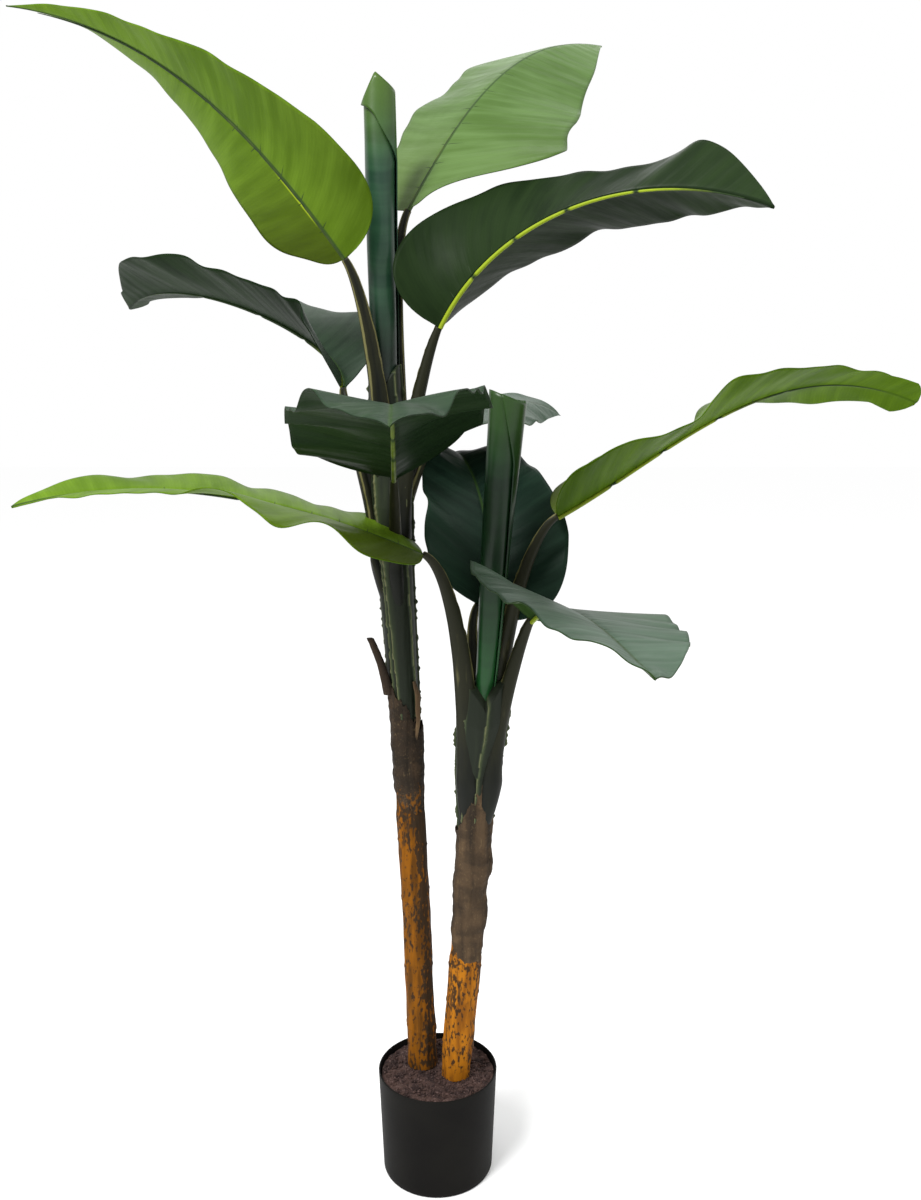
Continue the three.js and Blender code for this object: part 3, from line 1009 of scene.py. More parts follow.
UP = (0.0, 0.0, 1.0)
LEAVES = (
    leaf("tall_leaf_upper_left", (-66, 10, 985), 15,
         ((-110, -15, 1235), (-220, -15, 1370), (-355, 10, 1480), (-530, 45, 1545)),
         ((0.1, -1, 0.1), (0.1, -0.9, 0.3)), 185, (-50, -70, -140), (20, 75, 70), (-5, 5), 1.2,
         Age.YOUNG, BRIGHT, ripple=0.0016, glint=0.9,
         swells=(Swell(-1, 0.05, 0.07, -0.022, 0), Swell(1, 0.4, 0.2, 0.006, 0))),
    leaf("tall_leaf_upper_right", (-47, 44, 985), 12,
         ((-35, 50, 1305), (35, 120, 1435), (125, 250, 1554), (252, 400, 1621)),
         ((0.1, -1, 0.2), (0.2, -0.3, 1)), 225, (-55, -40, -30), (55, 0, -15), (0, 0), 3.2,
         Age.YOUNG, PALE, ripple=0.003, tip_width=0.02,
         swells=(Swell(-1, 0.50, 0.16, 0.018, 0), Swell(-1, 0.78, 0.12, 0.056, 8),
                 Swell(1, 0.06, 0.07, -0.062, 0), Swell(1, 0.27, 0.10, 0.037, 0),
                 Swell(1, 0.48, 0.18, 0.022, 0), Swell(1, 0.80, 0.12, 0.006, 0))),
    leaf("tall_leaf_right", (-46, 14, 900), 14,
         ((5, -5, 1155), (105, -50, 1260), (230, -135, 1290), (335, -295, 1240)),
         ((-0.4, 0.7, 0.5), (0.1, 0.8, 0.6)), 215, (45, 30, 20), (30, 105, 55), (0, -5), 1.9,
         Age.MATURE, DEEP, ripple=0.003, rib_glow=(1.0, 0.78),
         swells=(Swell(1, 0.76, 0.11, 0.012, -8), Swell(1, 0.52, 0.10, -0.012, 0))),
    leaf("tall_leaf_left", (-73, 22, 860), 14,
         ((-120, 35, 1080), (-190, 135, 1160), (-345, 215, 1222), (-500, 390, 1222)),
         (UP, UP), 215, (60, 20, 45), (40, 10, 0), (10, 0), 4.0,
         Age.MATURE, DARK, ripple=0.004, rib_glow=(0.9, 0.2), tip_width=0.05,
         glint=0.9, glint_span=(-0.03, 0.06),
         swells=(Swell(1, 0.06, 0.08, -0.055, 0), Swell(1, 0.27, 0.12, 0.014, 8))),
    leaf("tall_leaf_front", (-52, 4, 845), 10,
         ((-50, -55, 970), (-40, -225, 1025), (-30, -395, 1050), (-20, -570, 1030)),
         (UP, UP), 225, (30, 25, 0), (10, 5, 5), (-5, -5), 2.5,
         Age.MATURE, DARK, ripple=0.008, rib_glow=(0.3, 0.6),
         swells=(Swell(-1, 0.3, 0.2, 0, -6), Swell(-1, 0.62, 0.25, -0.010, -8))),
    leaf("tall_leaf_back", (-50, 44, 880), 11,
         ((-10, 75, 1010), (30, 220, 1045), (110, 370, 1075), (210, 540, 1055)),
         (UP, UP), 200, (20, -15, 60), (30, -10, -55), (0, -15), 1.9,
         Age.MATURE, GREY, ripple=0.003),
    leaf("short_leaf_left", (44, -24, 570), 18,
         ((-15, -45, 875), (-170, -45, 930), (-345, -30, 955), (-525, -50, 935)),
         ((0, 0.3, 1), (0, 0.3, 1)), 180, (-30, -10, -25), (35, 30, 60), (-10, -15), 3.0,
         Age.YOUNG, BRIGHT, ripple=0.004,
         swells=(Swell(-1, 0.11, 0.05, 0.002, -3), Swell(-1, 0.24, 0.05, -0.010, 6),
                 Swell(-1, 0.34, 0.05, 0.010, -5), Swell(-1, 0.50, 0.14, -0.010, 3))),
    leaf("short_leaf_right", (72, -2, 590), 17,
         ((155, -15, 920), (300, 5, 1010), (455, 30, 1080), (635, 60, 1065)),
         ((0, 0.3, 1), (0, 0.2, 1)), 180, (40, 20, -25), (20, 10, 25), (-5, 0), 4.0,
         Age.YOUNG, BRIGHT, ripple=0.004, tip_width=0.06, rib_glow=(0.6, 0.55),
         swells=(Swell(-1, 0.41, 0.06, -0.050, -22), Swell(1, 0.33, 0.09, -0.010, -8),
                 Swell(-1, 0.54, 0.06, 0.010, 8), Swell(1, 0.80, 0.15, -0.014, -8),
                 Swell(-1, 0.80, 0.15, -0.010, -8))),
    leaf("short_leaf_back", (58, 2, 600), 14,
         ((55, 20, 800), (65, 75, 910), (30, 215, 995), (5, 405, 915)),
         ((0.1, -1, 0.3), (0, 0.2, 1)), 220, (40, 25, 10), (35, 15, 10), (5, -5), 1.3,
         Age.MATURE, DEEP, ripple=0.005),
    leaf("short_leaf_front", (72, -30, 575), 15,
         ((122, -45, 792), (155, -200, 830), (180, -375, 830), (185, -550, 835)),
         (UP, UP), 225, (-15, -5, 5), (55, 25, 45), (0, -20), 1.8,
         Age.MATURE, GREY, ripple=0.005, rib_glow=(0.8, 0.08)),
)


@dataclass
class Foliage:
    """All open leaves: blades, midribs, side creases and stalks."""

    leaves: tuple[LeafShape, ...] = LEAVES
    thickness: float = 0.0011
    stalk_tip: float = 0.0046
    rib_radius: float = 0.0024
    crease_radius: float = 0.0008
    root_length: float = 0.075

    KNOT_LENGTH = 0.007
    KNOT_PINCH = 0.35
    MORE_CREASES = (0.08, 0.24, 0.39, 0.56)
    CHANNEL_DEPTH = 0.36
    LIP_HEIGHT = 0.10
    STALK_LIPS = (0.62, 2.52)
    ROOT_SHARE = 0.3

    def blade(self, shape: LeafShape) -> bpy.types.Object:
        """The blade as one thin closed shell, its upper and lower sides in their own tones.

        Args:
            shape: the leaf.

        Returns:
            The blade.
        """
        t = np.linspace(0, 1, shape.ROWS + 1) ** 1.2
        q = np.linspace(0, 1, shape.COLUMNS + 1) ** 1.25
        left, right = shape.half(t, q, -1), shape.half(t, q, 1)
        joined = {key: np.concatenate([left[key][:, :0:-1], right[key]], axis=1) for key in left}
        middle = len(q) - 1
        joined["facing"][:, middle] = unit(left["facing"][:, 0] + right["facing"][:, 0])
        joined["off_rib"][:, :middle] *= -1
        half = joined["facing"] * self.thickness / 2
        tone = shape.tone
        upper = LeafFinish(f"{shape.name}_upper", tone.upper, tone.upper_shade, RIB_UPPER_GREEN_AND_SHADOW, tone.foot,
                           glint=shape.glint, glint_span=shape.glint_span, far=tone.far(tone.upper))
        under = LeafFinish(f"{shape.name}_under", tone.under, tone.under_shade, tone.under_shade,
                           tone.under_shade, gloss=0.03, far=tone.far(tone.under),
                           glint=shape.glint if shape.glint_span[0] < 0 else 0.0,
                           glint_span=shape.glint_span)
        values = {key: joined[key] for key in ("vein", "off_rib")}
        piece = sheet_mesh(
            f"{shape.name}_blade", joined["points"] + half, joined["points"] - half, values,
            (upper.material(), under.material()),
        )
        return install(piece, shape.age.value, shape.name)

    def midribs(self, tubes: ShapeTree) -> bpy.types.Object:
        """Raised midribs under the blades, pinched at their knots.

        Args:
            tubes: the tube tree.

        Returns:
            All midribs as one piece.
        """
        lines, girths, shades = [], [], []
        for shape in self.leaves:
            t = np.linspace(0.0, shape.RIB_END, 130)
            _, normal, _ = shape.frames(t)
            girth = self.rib_radius * (1 - t / shape.RIB_END) ** 0.7 * (shape.width / 0.2) + 0.0004
            knots = sum(bell(t, knot, self.KNOT_LENGTH) for knot in shape.rib_knots)
            girth = girth * (1 - self.KNOT_PINCH * np.clip(knots, 0, 1))
            lines.append(shape.rib_points(t) - normal * (girth + shape.GROOVE * 0.8)[:, None])
            girths.append(girth)
            glow, reach = shape.rib_glow
            faded = 1 - glow * (1 - np.clip((t - reach) / 0.2 + 0.5, 0, 1))
            shades.append(np.clip(knots * 1.2 + faded, 0, 1))
        source = lines_object("leaf_midribs", lines, girths, shades)
        finish = ShadedFinish("midrib", RIB_UNDER, srgb(34, 52, 22), 0.45)
        tubes.bake(source, {"Sides": 10, "Material": finish.material()})
        return install(source, "young_leaf")

    def creases(self, tubes: ShapeTree) -> bpy.types.Object:
        """Short pressed creases that leave the midrib along the veins, on both sides.

        Args:
            tubes: the tube tree.

        Returns:
            All creases as one piece.
        """
        lines, girths, shades = [], [], []
        for shape in self.leaves:
            draw = random.Random(shape.name)
            for side in (-1, 1):
                for knot in (*shape.rib_knots, *self.MORE_CREASES):
                    start = knot + draw.uniform(-0.012, 0.012)
                    reach = draw.uniform(0.12, 0.32)
                    q = np.linspace(0.02, reach, 9)
                    lean = 0.28 * float(shape.half_width(np.array([start]), side)[0]) / shape.length()
                    line = []
                    for share in q:
                        spot = shape.half(np.array([start + lean * share]), np.array([0.0, share]), side)
                        line.append(spot["points"][0, 1])
                    lines.append(np.array(line))
                    girths.append(self.crease_radius * (1 - 0.75 * q / reach) + 0.0001)
                    shades.append(np.full(len(q), 0.6))
        source = lines_object("leaf_creases", lines, girths, shades)
        # dark green: partly the creases' own tone, partly painted shadow of the side ribs seen through the
        # blade
        finish = ShadedFinish("crease", srgb(34, 54, 18), srgb(26, 42, 18), 0.5)
        tubes.bake(source, {"Sides": 6, "Material": finish.material()})
        return install(source, "mature_leaf")

    def root(self, shape: LeafShape, t: np.ndarray) -> np.ndarray:
        """The stalk's way down into its stem, for t from -0.3 up to 0.

        Args:
            shape: the leaf.
            t: places on the way down, negative below the foot.

        Returns:
            One point for each place.
        """
        foot = np.array(shape.foot)
        line = TALL if shape.name.startswith("tall") else SHORT
        height = foot[2] - SOIL_LEVEL + self.root_length * t / self.ROOT_SHARE
        sunk = (-t / self.ROOT_SHARE)[:, None] ** 1.5 * 0.75
        axis = line.at(height)
        lift = line.at(np.full(len(t), foot[2] - SOIL_LEVEL))
        return axis + (foot - lift) * (1 - sunk)

    def stalk(self, shape: LeafShape, material: bpy.types.Material) -> bpy.types.Object:
        """The leaf's stalk, channelled on the side of the blade's upper face.

        Args:
            shape: the leaf.
            material: the skin of the stalks.

        Returns:
            The stalk.
        """
        t = np.concatenate([np.linspace(-self.ROOT_SHARE, -0.02, 14), np.linspace(0, 1, 60)])
        path = np.concatenate([self.root(shape, t[:14]), shape.stalk_path(t[14:])])
        tangent = unit(np.gradient(path, axis=0))
        facing = shape.frames(np.array([0.0]))[1][0]
        across = unit(np.cross(tangent, facing))
        upward = np.cross(across, tangent)
        radius = lerp((shape.foot_radius, self.stalk_tip), np.abs(t))
        angles = circle(28)[0]
        channel = bell(angles, math.pi / 2, 0.5)
        rings, shades = [], []
        for row, share in enumerate(t):
            around = []
            for angle, dip in zip(angles, channel):
                lip = self.LIP_HEIGHT * sum(bell(angle, place, 0.2) for place in self.STALK_LIPS)
                grain = 0.05 * rough_at(path[row], (30, 30, 12)) * math.sin(5 * angle)
                lip *= 1 + 1.2 * rough_at(path[row] + radius[row] * angle, (110, 110, 110))
                reach = radius[row] * (1 - self.CHANNEL_DEPTH * dip + lip + grain)
                out = math.cos(angle) * across[row] + math.sin(angle) * upward[row]
                around.append(path[row] + reach * out)
            rings.append(around)
            low = 0.9 * (1 - min(max(share + 0.05, 0) / 0.45, 1))
            bare = sum(bell(angles, place, 0.16) for place in self.STALK_LIPS)
            shades.append(low + 0.8 * channel - 0.9 * bare)
        name = shape.name.replace("leaf", "stalk")
        piece = limb_mesh(f"{name}_limb", np.array(rings), material, {"shade": np.array(shades)})
        return install(piece, "stalk", name)

    def build(self, tubes: ShapeTree) -> None:
        """Makes every leaf with its rib, creases and stalk.

        Args:
            tubes: the tube tree.
        """
        stalk_finish = ShadedFinish("stalk_skin", srgb(30, 31, 16), srgb(13, 16, 10), 0.5,
                                    edge=srgb(104, 100, 62), speckle=1.4).material()
        for shape in self.leaves:
            self.blade(shape)
            self.stalk(shape, stalk_finish)
        self.midribs(tubes)
        self.creases(tubes)


@dataclass
class RolledLeaf:
    """A young leaf still rolled: a spiral sheet with a slanting mouth."""

    name: str
    foot: Point
    tip: Point
    radii: tuple[float, float]
    mouth: tuple[tuple[float, float], ...]
    seam: tuple[float, float, float]
    top_tint: Rgb
    tints: tuple[Rgb, Rgb]
    low_tint: Rgb
    turns: float = 2.4
    pitch: float = 0.0030
    wall: float = 0.0012

    def build(self) -> bpy.types.Object:
        """Makes the rolled sheet; its outer edge winds down the roll.

        Returns:
            The rolled leaf.
        """
        t = np.linspace(0, 1, 90)
        share = np.linspace(0, 1, 150)
        top_seam, low_seam, foot_seam = self.seam
        seam = np.interp(t, [0, 0.8, 1], [foot_seam, low_seam, top_seam])
        radius = lerp(self.radii, t)
        angle = seam[:, None] + share[None, :] * self.turns * TURN
        inward = share[None, :] * self.turns * self.pitch
        flare = 0.0006 * np.exp(-share[None, :] / 0.02)
        wobble = 0.0005 * np.sin(3 * angle + 9 * t[:, None])
        reach = radius[:, None] - inward + flare + wobble
        foot, tip = np.array(self.foot), np.array(self.tip)
        out = np.stack([np.cos(angle), np.sin(angle), np.zeros_like(angle)], -1)
        points = foot + (tip - foot) * t[:, None, None] + out * reach[..., None]
        sides, heights = zip(*self.mouth)
        lip = np.interp(np.cos(angle), sides, heights) * np.where(np.sin(angle) < 0.2, 1.0, 0.4)
        points[..., 2] += lip * np.clip((t - 0.86) / 0.14, 0, 1)[:, None] ** 1.5 - 0.002 * share[None, :]
        half = out * self.wall / 2
        values = {
            "vein": (1 - t[:, None]) * 0.38 + 0.012 * np.sin(angle),
            "off_rib": np.full(angle.shape, -0.05),
        }
        outer = LeafFinish(
            f"{self.name}_outside", *self.tints, srgb(40, 70, 40), self.top_tint,
            roughness=0.34, vein_pitch=0.03, vein_depth=0.0004, gloss=0.3, far=self.low_tint,
            fade=(0.18, 0.34), foot_reach=0.085,
        )
        piece = sheet_mesh(f"{self.name}_roll", points + half, points - half, values, (outer.material(),))
        return install(piece, "rolled_leaf", self.name)


# ------------------------------------------------------------------ stems
@dataclass(frozen=True)
class StemLine:
    """A stem's leaning axis: height above the soil, rightward and backward shift, in metres."""

    places: tuple[Point, ...]

    def at(self, height: np.ndarray) -> np.ndarray:
        """Points of the axis at heights above the soil."""
        levels, right, back = (np.array(c) for c in zip(*self.places))
        return np.stack([
            np.interp(height, levels, right),
            np.interp(height, levels, back),
            height + SOIL_LEVEL,
        ], -1)


TALL = StemLine((
    (0, -0.0215, 0.0205), (0.245, -0.030, 0.021), (0.530, -0.043, 0.022),
    (0.775, -0.058, 0.024), (0.955, -0.0655, 0.025),
))
SHORT = StemLine((
    (0, 0.0255, -0.0075), (0.230, 0.042, -0.010), (0.335, 0.050, -0.012),
    (0.440, 0.0535, -0.013), (0.500, 0.061, -0.014), (0.560, 0.0655, -0.015),
))


@dataclass
class Trunk:
    """A round bark-wrapped trunk with fibres, swellings and faint leaf scars."""

    name: str
    line: StemLine
    stations: tuple[tuple[float, float], ...]
    finish: BarkFinish
    scars: tuple[float, ...]
    rows: int = 300
    sides: int = 110
    relief: float = 0.0012

    def build(self) -> bpy.types.Object:
        """Makes the trunk with its relief.

        Returns:
            The trunk.
        """
        levels, radii = zip(*self.stations)
        height = np.linspace(levels[0] + 0.0004, levels[-1], self.rows)
        axis = self.line.at(height)
        radius = np.interp(height, levels, radii)
        angles, outs = circle(self.sides)
        rings = np.zeros((self.rows, self.sides, 3))
        for row in range(self.rows):
            for k, (angle, out) in enumerate(zip(angles, outs)):
                spot = axis[row] + out * radius[row]
                fibre = rough_at(spot, (110, 110, 9)) * self.relief
                lump = rough_at(spot, (28, 28, 14)) * self.relief * 1.3
                tilt = 0.006 * math.sin(angle + 40 * height[row])
                scar = sum(bell(height[row] + tilt, place, 0.0022) for place in self.scars)
                rings[row, k] = spot + out * (fibre + lump + 0.0009 * scar)
        piece = limb_mesh(f"{self.name}_bark", rings, self.finish.material())
        return install(piece, "bark", self.name)


@dataclass
class LeafBaseStem:
    """A stem of overlapping leaf bases: long ridges with one free edge each."""

    name: str
    line: StemLine
    stations: tuple[tuple[float, float], ...]
    edges: tuple[tuple[float, float], ...]
    rows: int = 260
    sides: int = 120
    ridge: float = 0.0026
    mouth: float = 0.0

    def build(self) -> bpy.types.Object:
        """Makes the stem; edges are each strip's angle at foot and top.

        Returns:
            The stem.
        """
        levels, radii = zip(*self.stations)
        height = np.linspace(levels[0], levels[-1], self.rows)
        share = (height - height[0]) / (height[-1] - height[0])
        axis = self.line.at(height)
        radius = np.interp(height, levels, radii)
        angles, outs = circle(self.sides)
        rings = np.zeros((self.rows, self.sides, 3))
        shades = np.zeros((self.rows, self.sides))
        for row in range(self.rows):
            steps = np.zeros(self.sides)
            lips = np.zeros(self.sides)
            for low, high in (*self.edges, (0.05, -0.05), (3.2, 3.1)):
                edge = low + (high - low) * share[row] + 0.05 * rough_at((low, high, height[row]), (9, 9, 30))
                past = (angles - edge) % TURN
                steps += np.exp(-past / 0.55)
                lips += np.exp(-((past / 0.10) ** 2))
            for k, (angle, out) in enumerate(zip(angles, outs)):
                spot = axis[row] + out * radius[row]
                grain = rough_at(spot, (90, 90, 8)) * 0.0009
                knob = max(0.0, rough_at(spot, (40, 40, 120), 3)) * min(lips[k], 1.0) * 0.0042
                rings[row, k] = spot + out * (self.ridge * (min(steps[k], 1.4) - 0.6) + grain + knob)
                rings[row, k, 2] += share[row] ** 6 * self.mouth * (abs(math.cos(angle)) ** 0.8 - 0.35)
            shades[row] = 1.0 - np.clip(lips * 1.5 + (steps - 0.6) * 0.35, 0, 1.9)
        finish = ShadedFinish(f"{self.name}_skin", srgb(56, 66, 42), srgb(26, 32, 22), 0.55,
                              grain=70.0, stretch=(1, 1, 0.1), depth=0.001, edge=srgb(92, 94, 64),
                              speckle=1.3)
        piece = limb_mesh(f"{self.name}_bases", rings, finish.material(), {"shade": shades})
        return install(piece, "stem", self.name)


@dataclass
class Sleeve:
    """A torn fibre wrap round a stem: an open shell with wrinkles and ragged lips."""

    name: str
    line: StemLine
    foot: float
    foot_slope: float
    radii: tuple[tuple[float, float], ...]
    top: float
    slope: float
    high_side: float
    finish: FibreFinish
    lumps: tuple[tuple[float, float, float], ...] = ()
    wall: float = 0.0016
    rows: int = 120
    columns: int = 140

    def build(self) -> bpy.types.Object:
        """Makes the wrap. Each lump is (angle, height, how far it stands out).

        Returns:
            The sleeve.
        """
        angles, outs = circle(self.columns)
        share = np.linspace(0, 1, self.rows)
        levels, radii = zip(*self.radii)
        outer = np.zeros((self.rows, self.columns, 3))
        inner = np.zeros_like(outer)
        for k, (angle, out) in enumerate(zip(angles, outs)):
            torn = rough_at((out[0], out[1], self.foot), (5, 5, 30), 4)
            lip = self.top + self.slope * math.cos(angle - self.high_side) + 0.010 * torn
            point = (0.5 + 0.5 * math.cos(angle + 1.0)) ** 2
            frayed = rough_at((out[0], out[1], self.top), (4, 4, 30), 4)
            base = self.foot - self.foot_slope * point + 0.010 * frayed
            height = base + (lip - base) * share
            axis = self.line.at(height)
            radius = np.interp(height, levels, radii)
            for row in range(self.rows):
                spot = axis[row] + out * radius[row]
                fold = rough_at(spot, (42, 42, 7)) * 0.0030 + rough_at(spot, (16, 16, 70)) * 0.0016
                fibre = rough_at(spot, (160, 160, 14)) * 0.0006
                lump = sum(
                    size * math.exp(-((math.remainder(angle - a, TURN) / 0.5) ** 2)
                                    - ((height[row] - h) / 0.014) ** 2)
                    for a, h, size in self.lumps
                )
                tuck = 0.0030 * max(0.0, 1 - share[row] / 0.1) ** 1.5
                outer[row, k] = spot + out * (fold + fibre + lump - tuck)
                inner[row, k] = outer[row, k] - out * self.wall
        count = self.rows * self.columns
        faces = grid_faces(self.rows, self.columns, closed=True)
        faces += [face[::-1] for face in grid_faces(self.rows, self.columns, count, closed=True)]
        last = (self.rows - 1) * self.columns
        for k in range(self.columns):
            beside = (k + 1) % self.columns
            faces.append([beside, k, k + count, beside + count])
            faces.append([last + k, last + beside, last + beside + count, last + k + count])
        points = np.concatenate([outer.reshape(-1, 3), inner.reshape(-1, 3)])
        piece = mesh_object(f"{self.name}_wrap", points, faces)
        piece.data.materials.append(self.finish.material())
        return install(piece, "sheath", self.name)


@dataclass
class Scrap:
    """A curled flap or strip of dry sheath that stands off a stem."""

    name: str
    spine: tuple[Point, ...]
    widths: tuple[float, ...]
    facing: Point
    cup: float
    finish: FibreFinish
    wall: float = 0.0012

    def build(self) -> bpy.types.Object:
        """Makes the flap as a thin cupped shell along its spine.

        Returns:
            The flap.
        """
        t = np.linspace(0, 1, 40)
        knots = np.linspace(0, 1, len(self.spine))
        spine = np.stack([np.interp(t, knots, [p[a] for p in self.spine]) for a in range(3)], -1)
        width = np.interp(t, knots, self.widths)
        tangent = unit(np.gradient(spine, axis=0))
        normal = unit(np.array(self.facing) - (tangent @ np.array(self.facing))[:, None] * tangent)
        across = np.cross(tangent, normal)
        s = np.linspace(-1, 1, 16)
        points = spine[:, None] + across[:, None] * (s[None, :] * width[:, None] / 2)[..., None]
        points = points - normal[:, None] * (self.cup * s[None, :] ** 2 * np.ones((len(t), 1)))[..., None]
        for row in range(len(t)):
            for column in range(len(s)):
                points[row, column] += normal[row] * 0.0012 * rough_at(points[row, column], (90, 90, 30))
        half = np.broadcast_to(normal[:, None] * self.wall / 2, points.shape)
        piece = sheet_mesh(self.name, points + half, points - half, {}, (self.finish.material(),))
        return install(piece, "sheath")


@dataclass
class CutStalk:
    """The stump of a stalk that was cut off, channelled and flat topped."""

    name: str = "tall_cut_stalk"
    foot: Point = (-0.064, 0.012, 0.680)
    tip: Point = (-0.087, 0.008, 0.757)
    radii: tuple[float, float] = (0.007, 0.005)

    def build(self, finish: FibreFinish) -> bpy.types.Object:
        """Makes the stump.

        Args:
            finish: its dry skin.

        Returns:
            The stump.
        """
        t = np.linspace(0, 1, 30)
        angles, outs = circle(24)
        foot, tip = np.array(self.foot), np.array(self.tip)
        rings = np.zeros((len(t), len(angles), 3))
        for row, share in enumerate(t):
            radius = lerp(self.radii, share)
            bow = np.array([0.003, 0, 0]) * math.sin(math.pi * share)
            for k, (angle, out) in enumerate(zip(angles, outs)):
                reach = radius * (1 - 0.35 * bell(angle, 0.4, 0.5))
                reach += 0.0004 * rough_at((angle, share, 1.0), (2, 14, 1))
                rings[row, k] = foot + (tip - foot) * share + bow + out * reach
        piece = limb_mesh(f"{self.name}_stump", rings, finish.material())
        return install(piece, "sheath", self.name)


# ------------------------------------------------------------------ pot and soil
@dataclass
class Pot:
    """A plain moulded pot with a rounded rim, and its fill with loose crumbs on top."""

    height: float = 0.147
    rim: float = 0.0825
    foot: float = 0.0765
    wall: float = 0.0022
    floor: float = 0.003
    sides: int = 144

    def shell(self) -> bpy.types.Object:
        """Makes the pot as one turned shell.

        Returns:
            The pot.
        """
        inner, bead = self.rim - self.wall, self.wall / 2
        profile = [(0.0, 0.0), (self.foot - 0.003, 0.0), (self.foot - 0.0009, 0.0007), (self.foot, 0.003)]
        profile += [
            (self.foot + (self.rim - self.foot) * s, 0.003 + (self.height - bead - 0.003) * s)
            for s in np.linspace(0.05, 1, 24)
        ]
        profile += [
            (self.rim - bead + bead * math.cos(a), self.height - bead + bead * math.sin(a))
            for a in np.linspace(0.25, math.pi - 0.25, 7)
        ]
        profile += [(inner, self.height - bead), (self.foot - self.wall, self.floor + 0.002),
                    (self.foot - self.wall - 0.002, self.floor), (0.0, self.floor)]
        graph = Graph("moulded_charcoal")
        grain = graph.noise(420.0, detail=2.0)
        cloud = graph.noise(14.0, detail=2.0)
        colour = graph.mix(cloud.rise(0.3, 0.7), srgb(17, 16, 15), srgb(21, 20, 18))
        bump = graph.bump(grain, 0.25, 0.0002)
        plastic = graph.finish(colour, grain * 0.12 + 0.50, bump, Specular_IOR_Level=0.05)
        return install(turned("pot_shell", profile, self.sides, plastic), "pot", "pot")

    def soil(self) -> bpy.types.Object:
        """Makes the fill with a lumpy top.

        Returns:
            The fill.
        """
        gap = 0.0004
        low, high = self.floor + gap, SOIL_LEVEL
        span = (high - self.floor) / (self.height - self.floor)
        foot = self.foot - self.wall - gap
        top = self.foot - self.wall + (self.rim - self.foot) * span - gap
        profile = [(0.0, low), (foot - 0.003, low), (foot, low + 0.004), (top - 0.001, high - 0.004)]
        profile += [(top * s, high) for s in np.linspace(0.985, 0.0, 60)]
        piece = turned("soil_bed", profile, self.sides, self.earth("soil", 1.0))
        for vertex in piece.data.vertices:
            if vertex.co.z > high - 0.001:
                clods = rough_at(vertex.co, (70, 70, 1), 4)
                grit = rough_at(vertex.co, (260, 260, 1), 2)
                vertex.co.z += 0.0024 * clods + 0.0012 * grit
        return install(piece, "potting_fill", "potting_fill")

    def earth(self, name: str, tone: float) -> bpy.types.Material:
        """Crumbly brown dressing, mauve where it catches light.

        Args:
            name: the material's name.
            tone: how much of the pale flecks shows.

        Returns:
            The material.
        """
        graph = Graph(name)
        clump = graph.noise(90.0, detail=4.0)
        fleck = graph.noise(300.0, detail=2.0)
        dark, warm, pale = srgb(43, 32, 30), srgb(71, 54, 49), srgb(108, 88, 84)
        first = graph.mix(clump.rise(0.36, 0.62), dark, warm)
        colour = graph.mix(fleck.rise(0.56, 0.70) * (0.7 * tone), first, pale)
        return graph.finish(colour, 0.95, graph.bump(clump + fleck, 0.8, 0.001), Specular_IOR_Level=0.2)

    def crumbs(self, scatter: ShapeTree) -> bpy.types.Object:
        """Deals loose crumbs over the soil.

        Args:
            scatter: the crumb tree.

        Returns:
            The crumbs as one piece.
        """
        outer = self.rim - 0.0075
        disc = circle(64)[1] * outer + (0, 0, SOIL_LEVEL + 0.0004)
        source = mesh_object("soil_crumbs", disc, [list(range(64))])
        scatter.bake(source, {
            "Density": 72000.0, "Smallest": 0.0007, "Largest": 0.0023, "Seed": 7,
            "Material": self.earth("crumb", 0.8),
        })
        return install(source, "potting_fill")

    def build(self, scatter: ShapeTree) -> None:
        """Makes pot, soil and crumbs.

        Args:
            scatter: the crumb tree.
        """
        self.shell()
        self.soil()
        self.crumbs(scatter)


def turned(
    name: str, profile: Sequence[tuple[float, float]], sides: int, material: bpy.types.Material
) -> bpy.types.Object:
    """A solid of revolution with a level foot and a level end.

    Args:
        name: the object's name.
        profile: (radius, height) points from axis to axis, going outwards below and back above.
        sides: points round the axis.
        material: what it is made of.

    Returns:
        The closed solid.
    """
    outs = circle(sides)[1]
    rings = np.array([outs * radius + (0, 0, height) for radius, height in profile[1:-1]])
    return limb_mesh(name, rings, material)


# ------------------------------------------------------------------ studio
@dataclass(frozen=True)
class Lamp:
    """A soft area light: where it hangs, what it points at, its size, power and colour."""

    name: str
    place: Point
    target: Point
    size: float
    power: float
    colour: Rgb = (1.0, 1.0, 1.0)

    def build(self) -> bpy.types.Object:
        """Hangs the light.

        Returns:
            The light.
        """
        data = bpy.data.lights.new(self.name, "AREA")
        data.shape = "DISK"
        data.size = self.size
        data.energy = self.power
        data.color = self.colour
        lamp = link(self.name, data)
        lamp.location = self.place
        aim = Vector(self.target) - Vector(self.place)
        lamp.rotation_euler = aim.to_track_quat("-Z", "Y").to_euler()
        return lamp


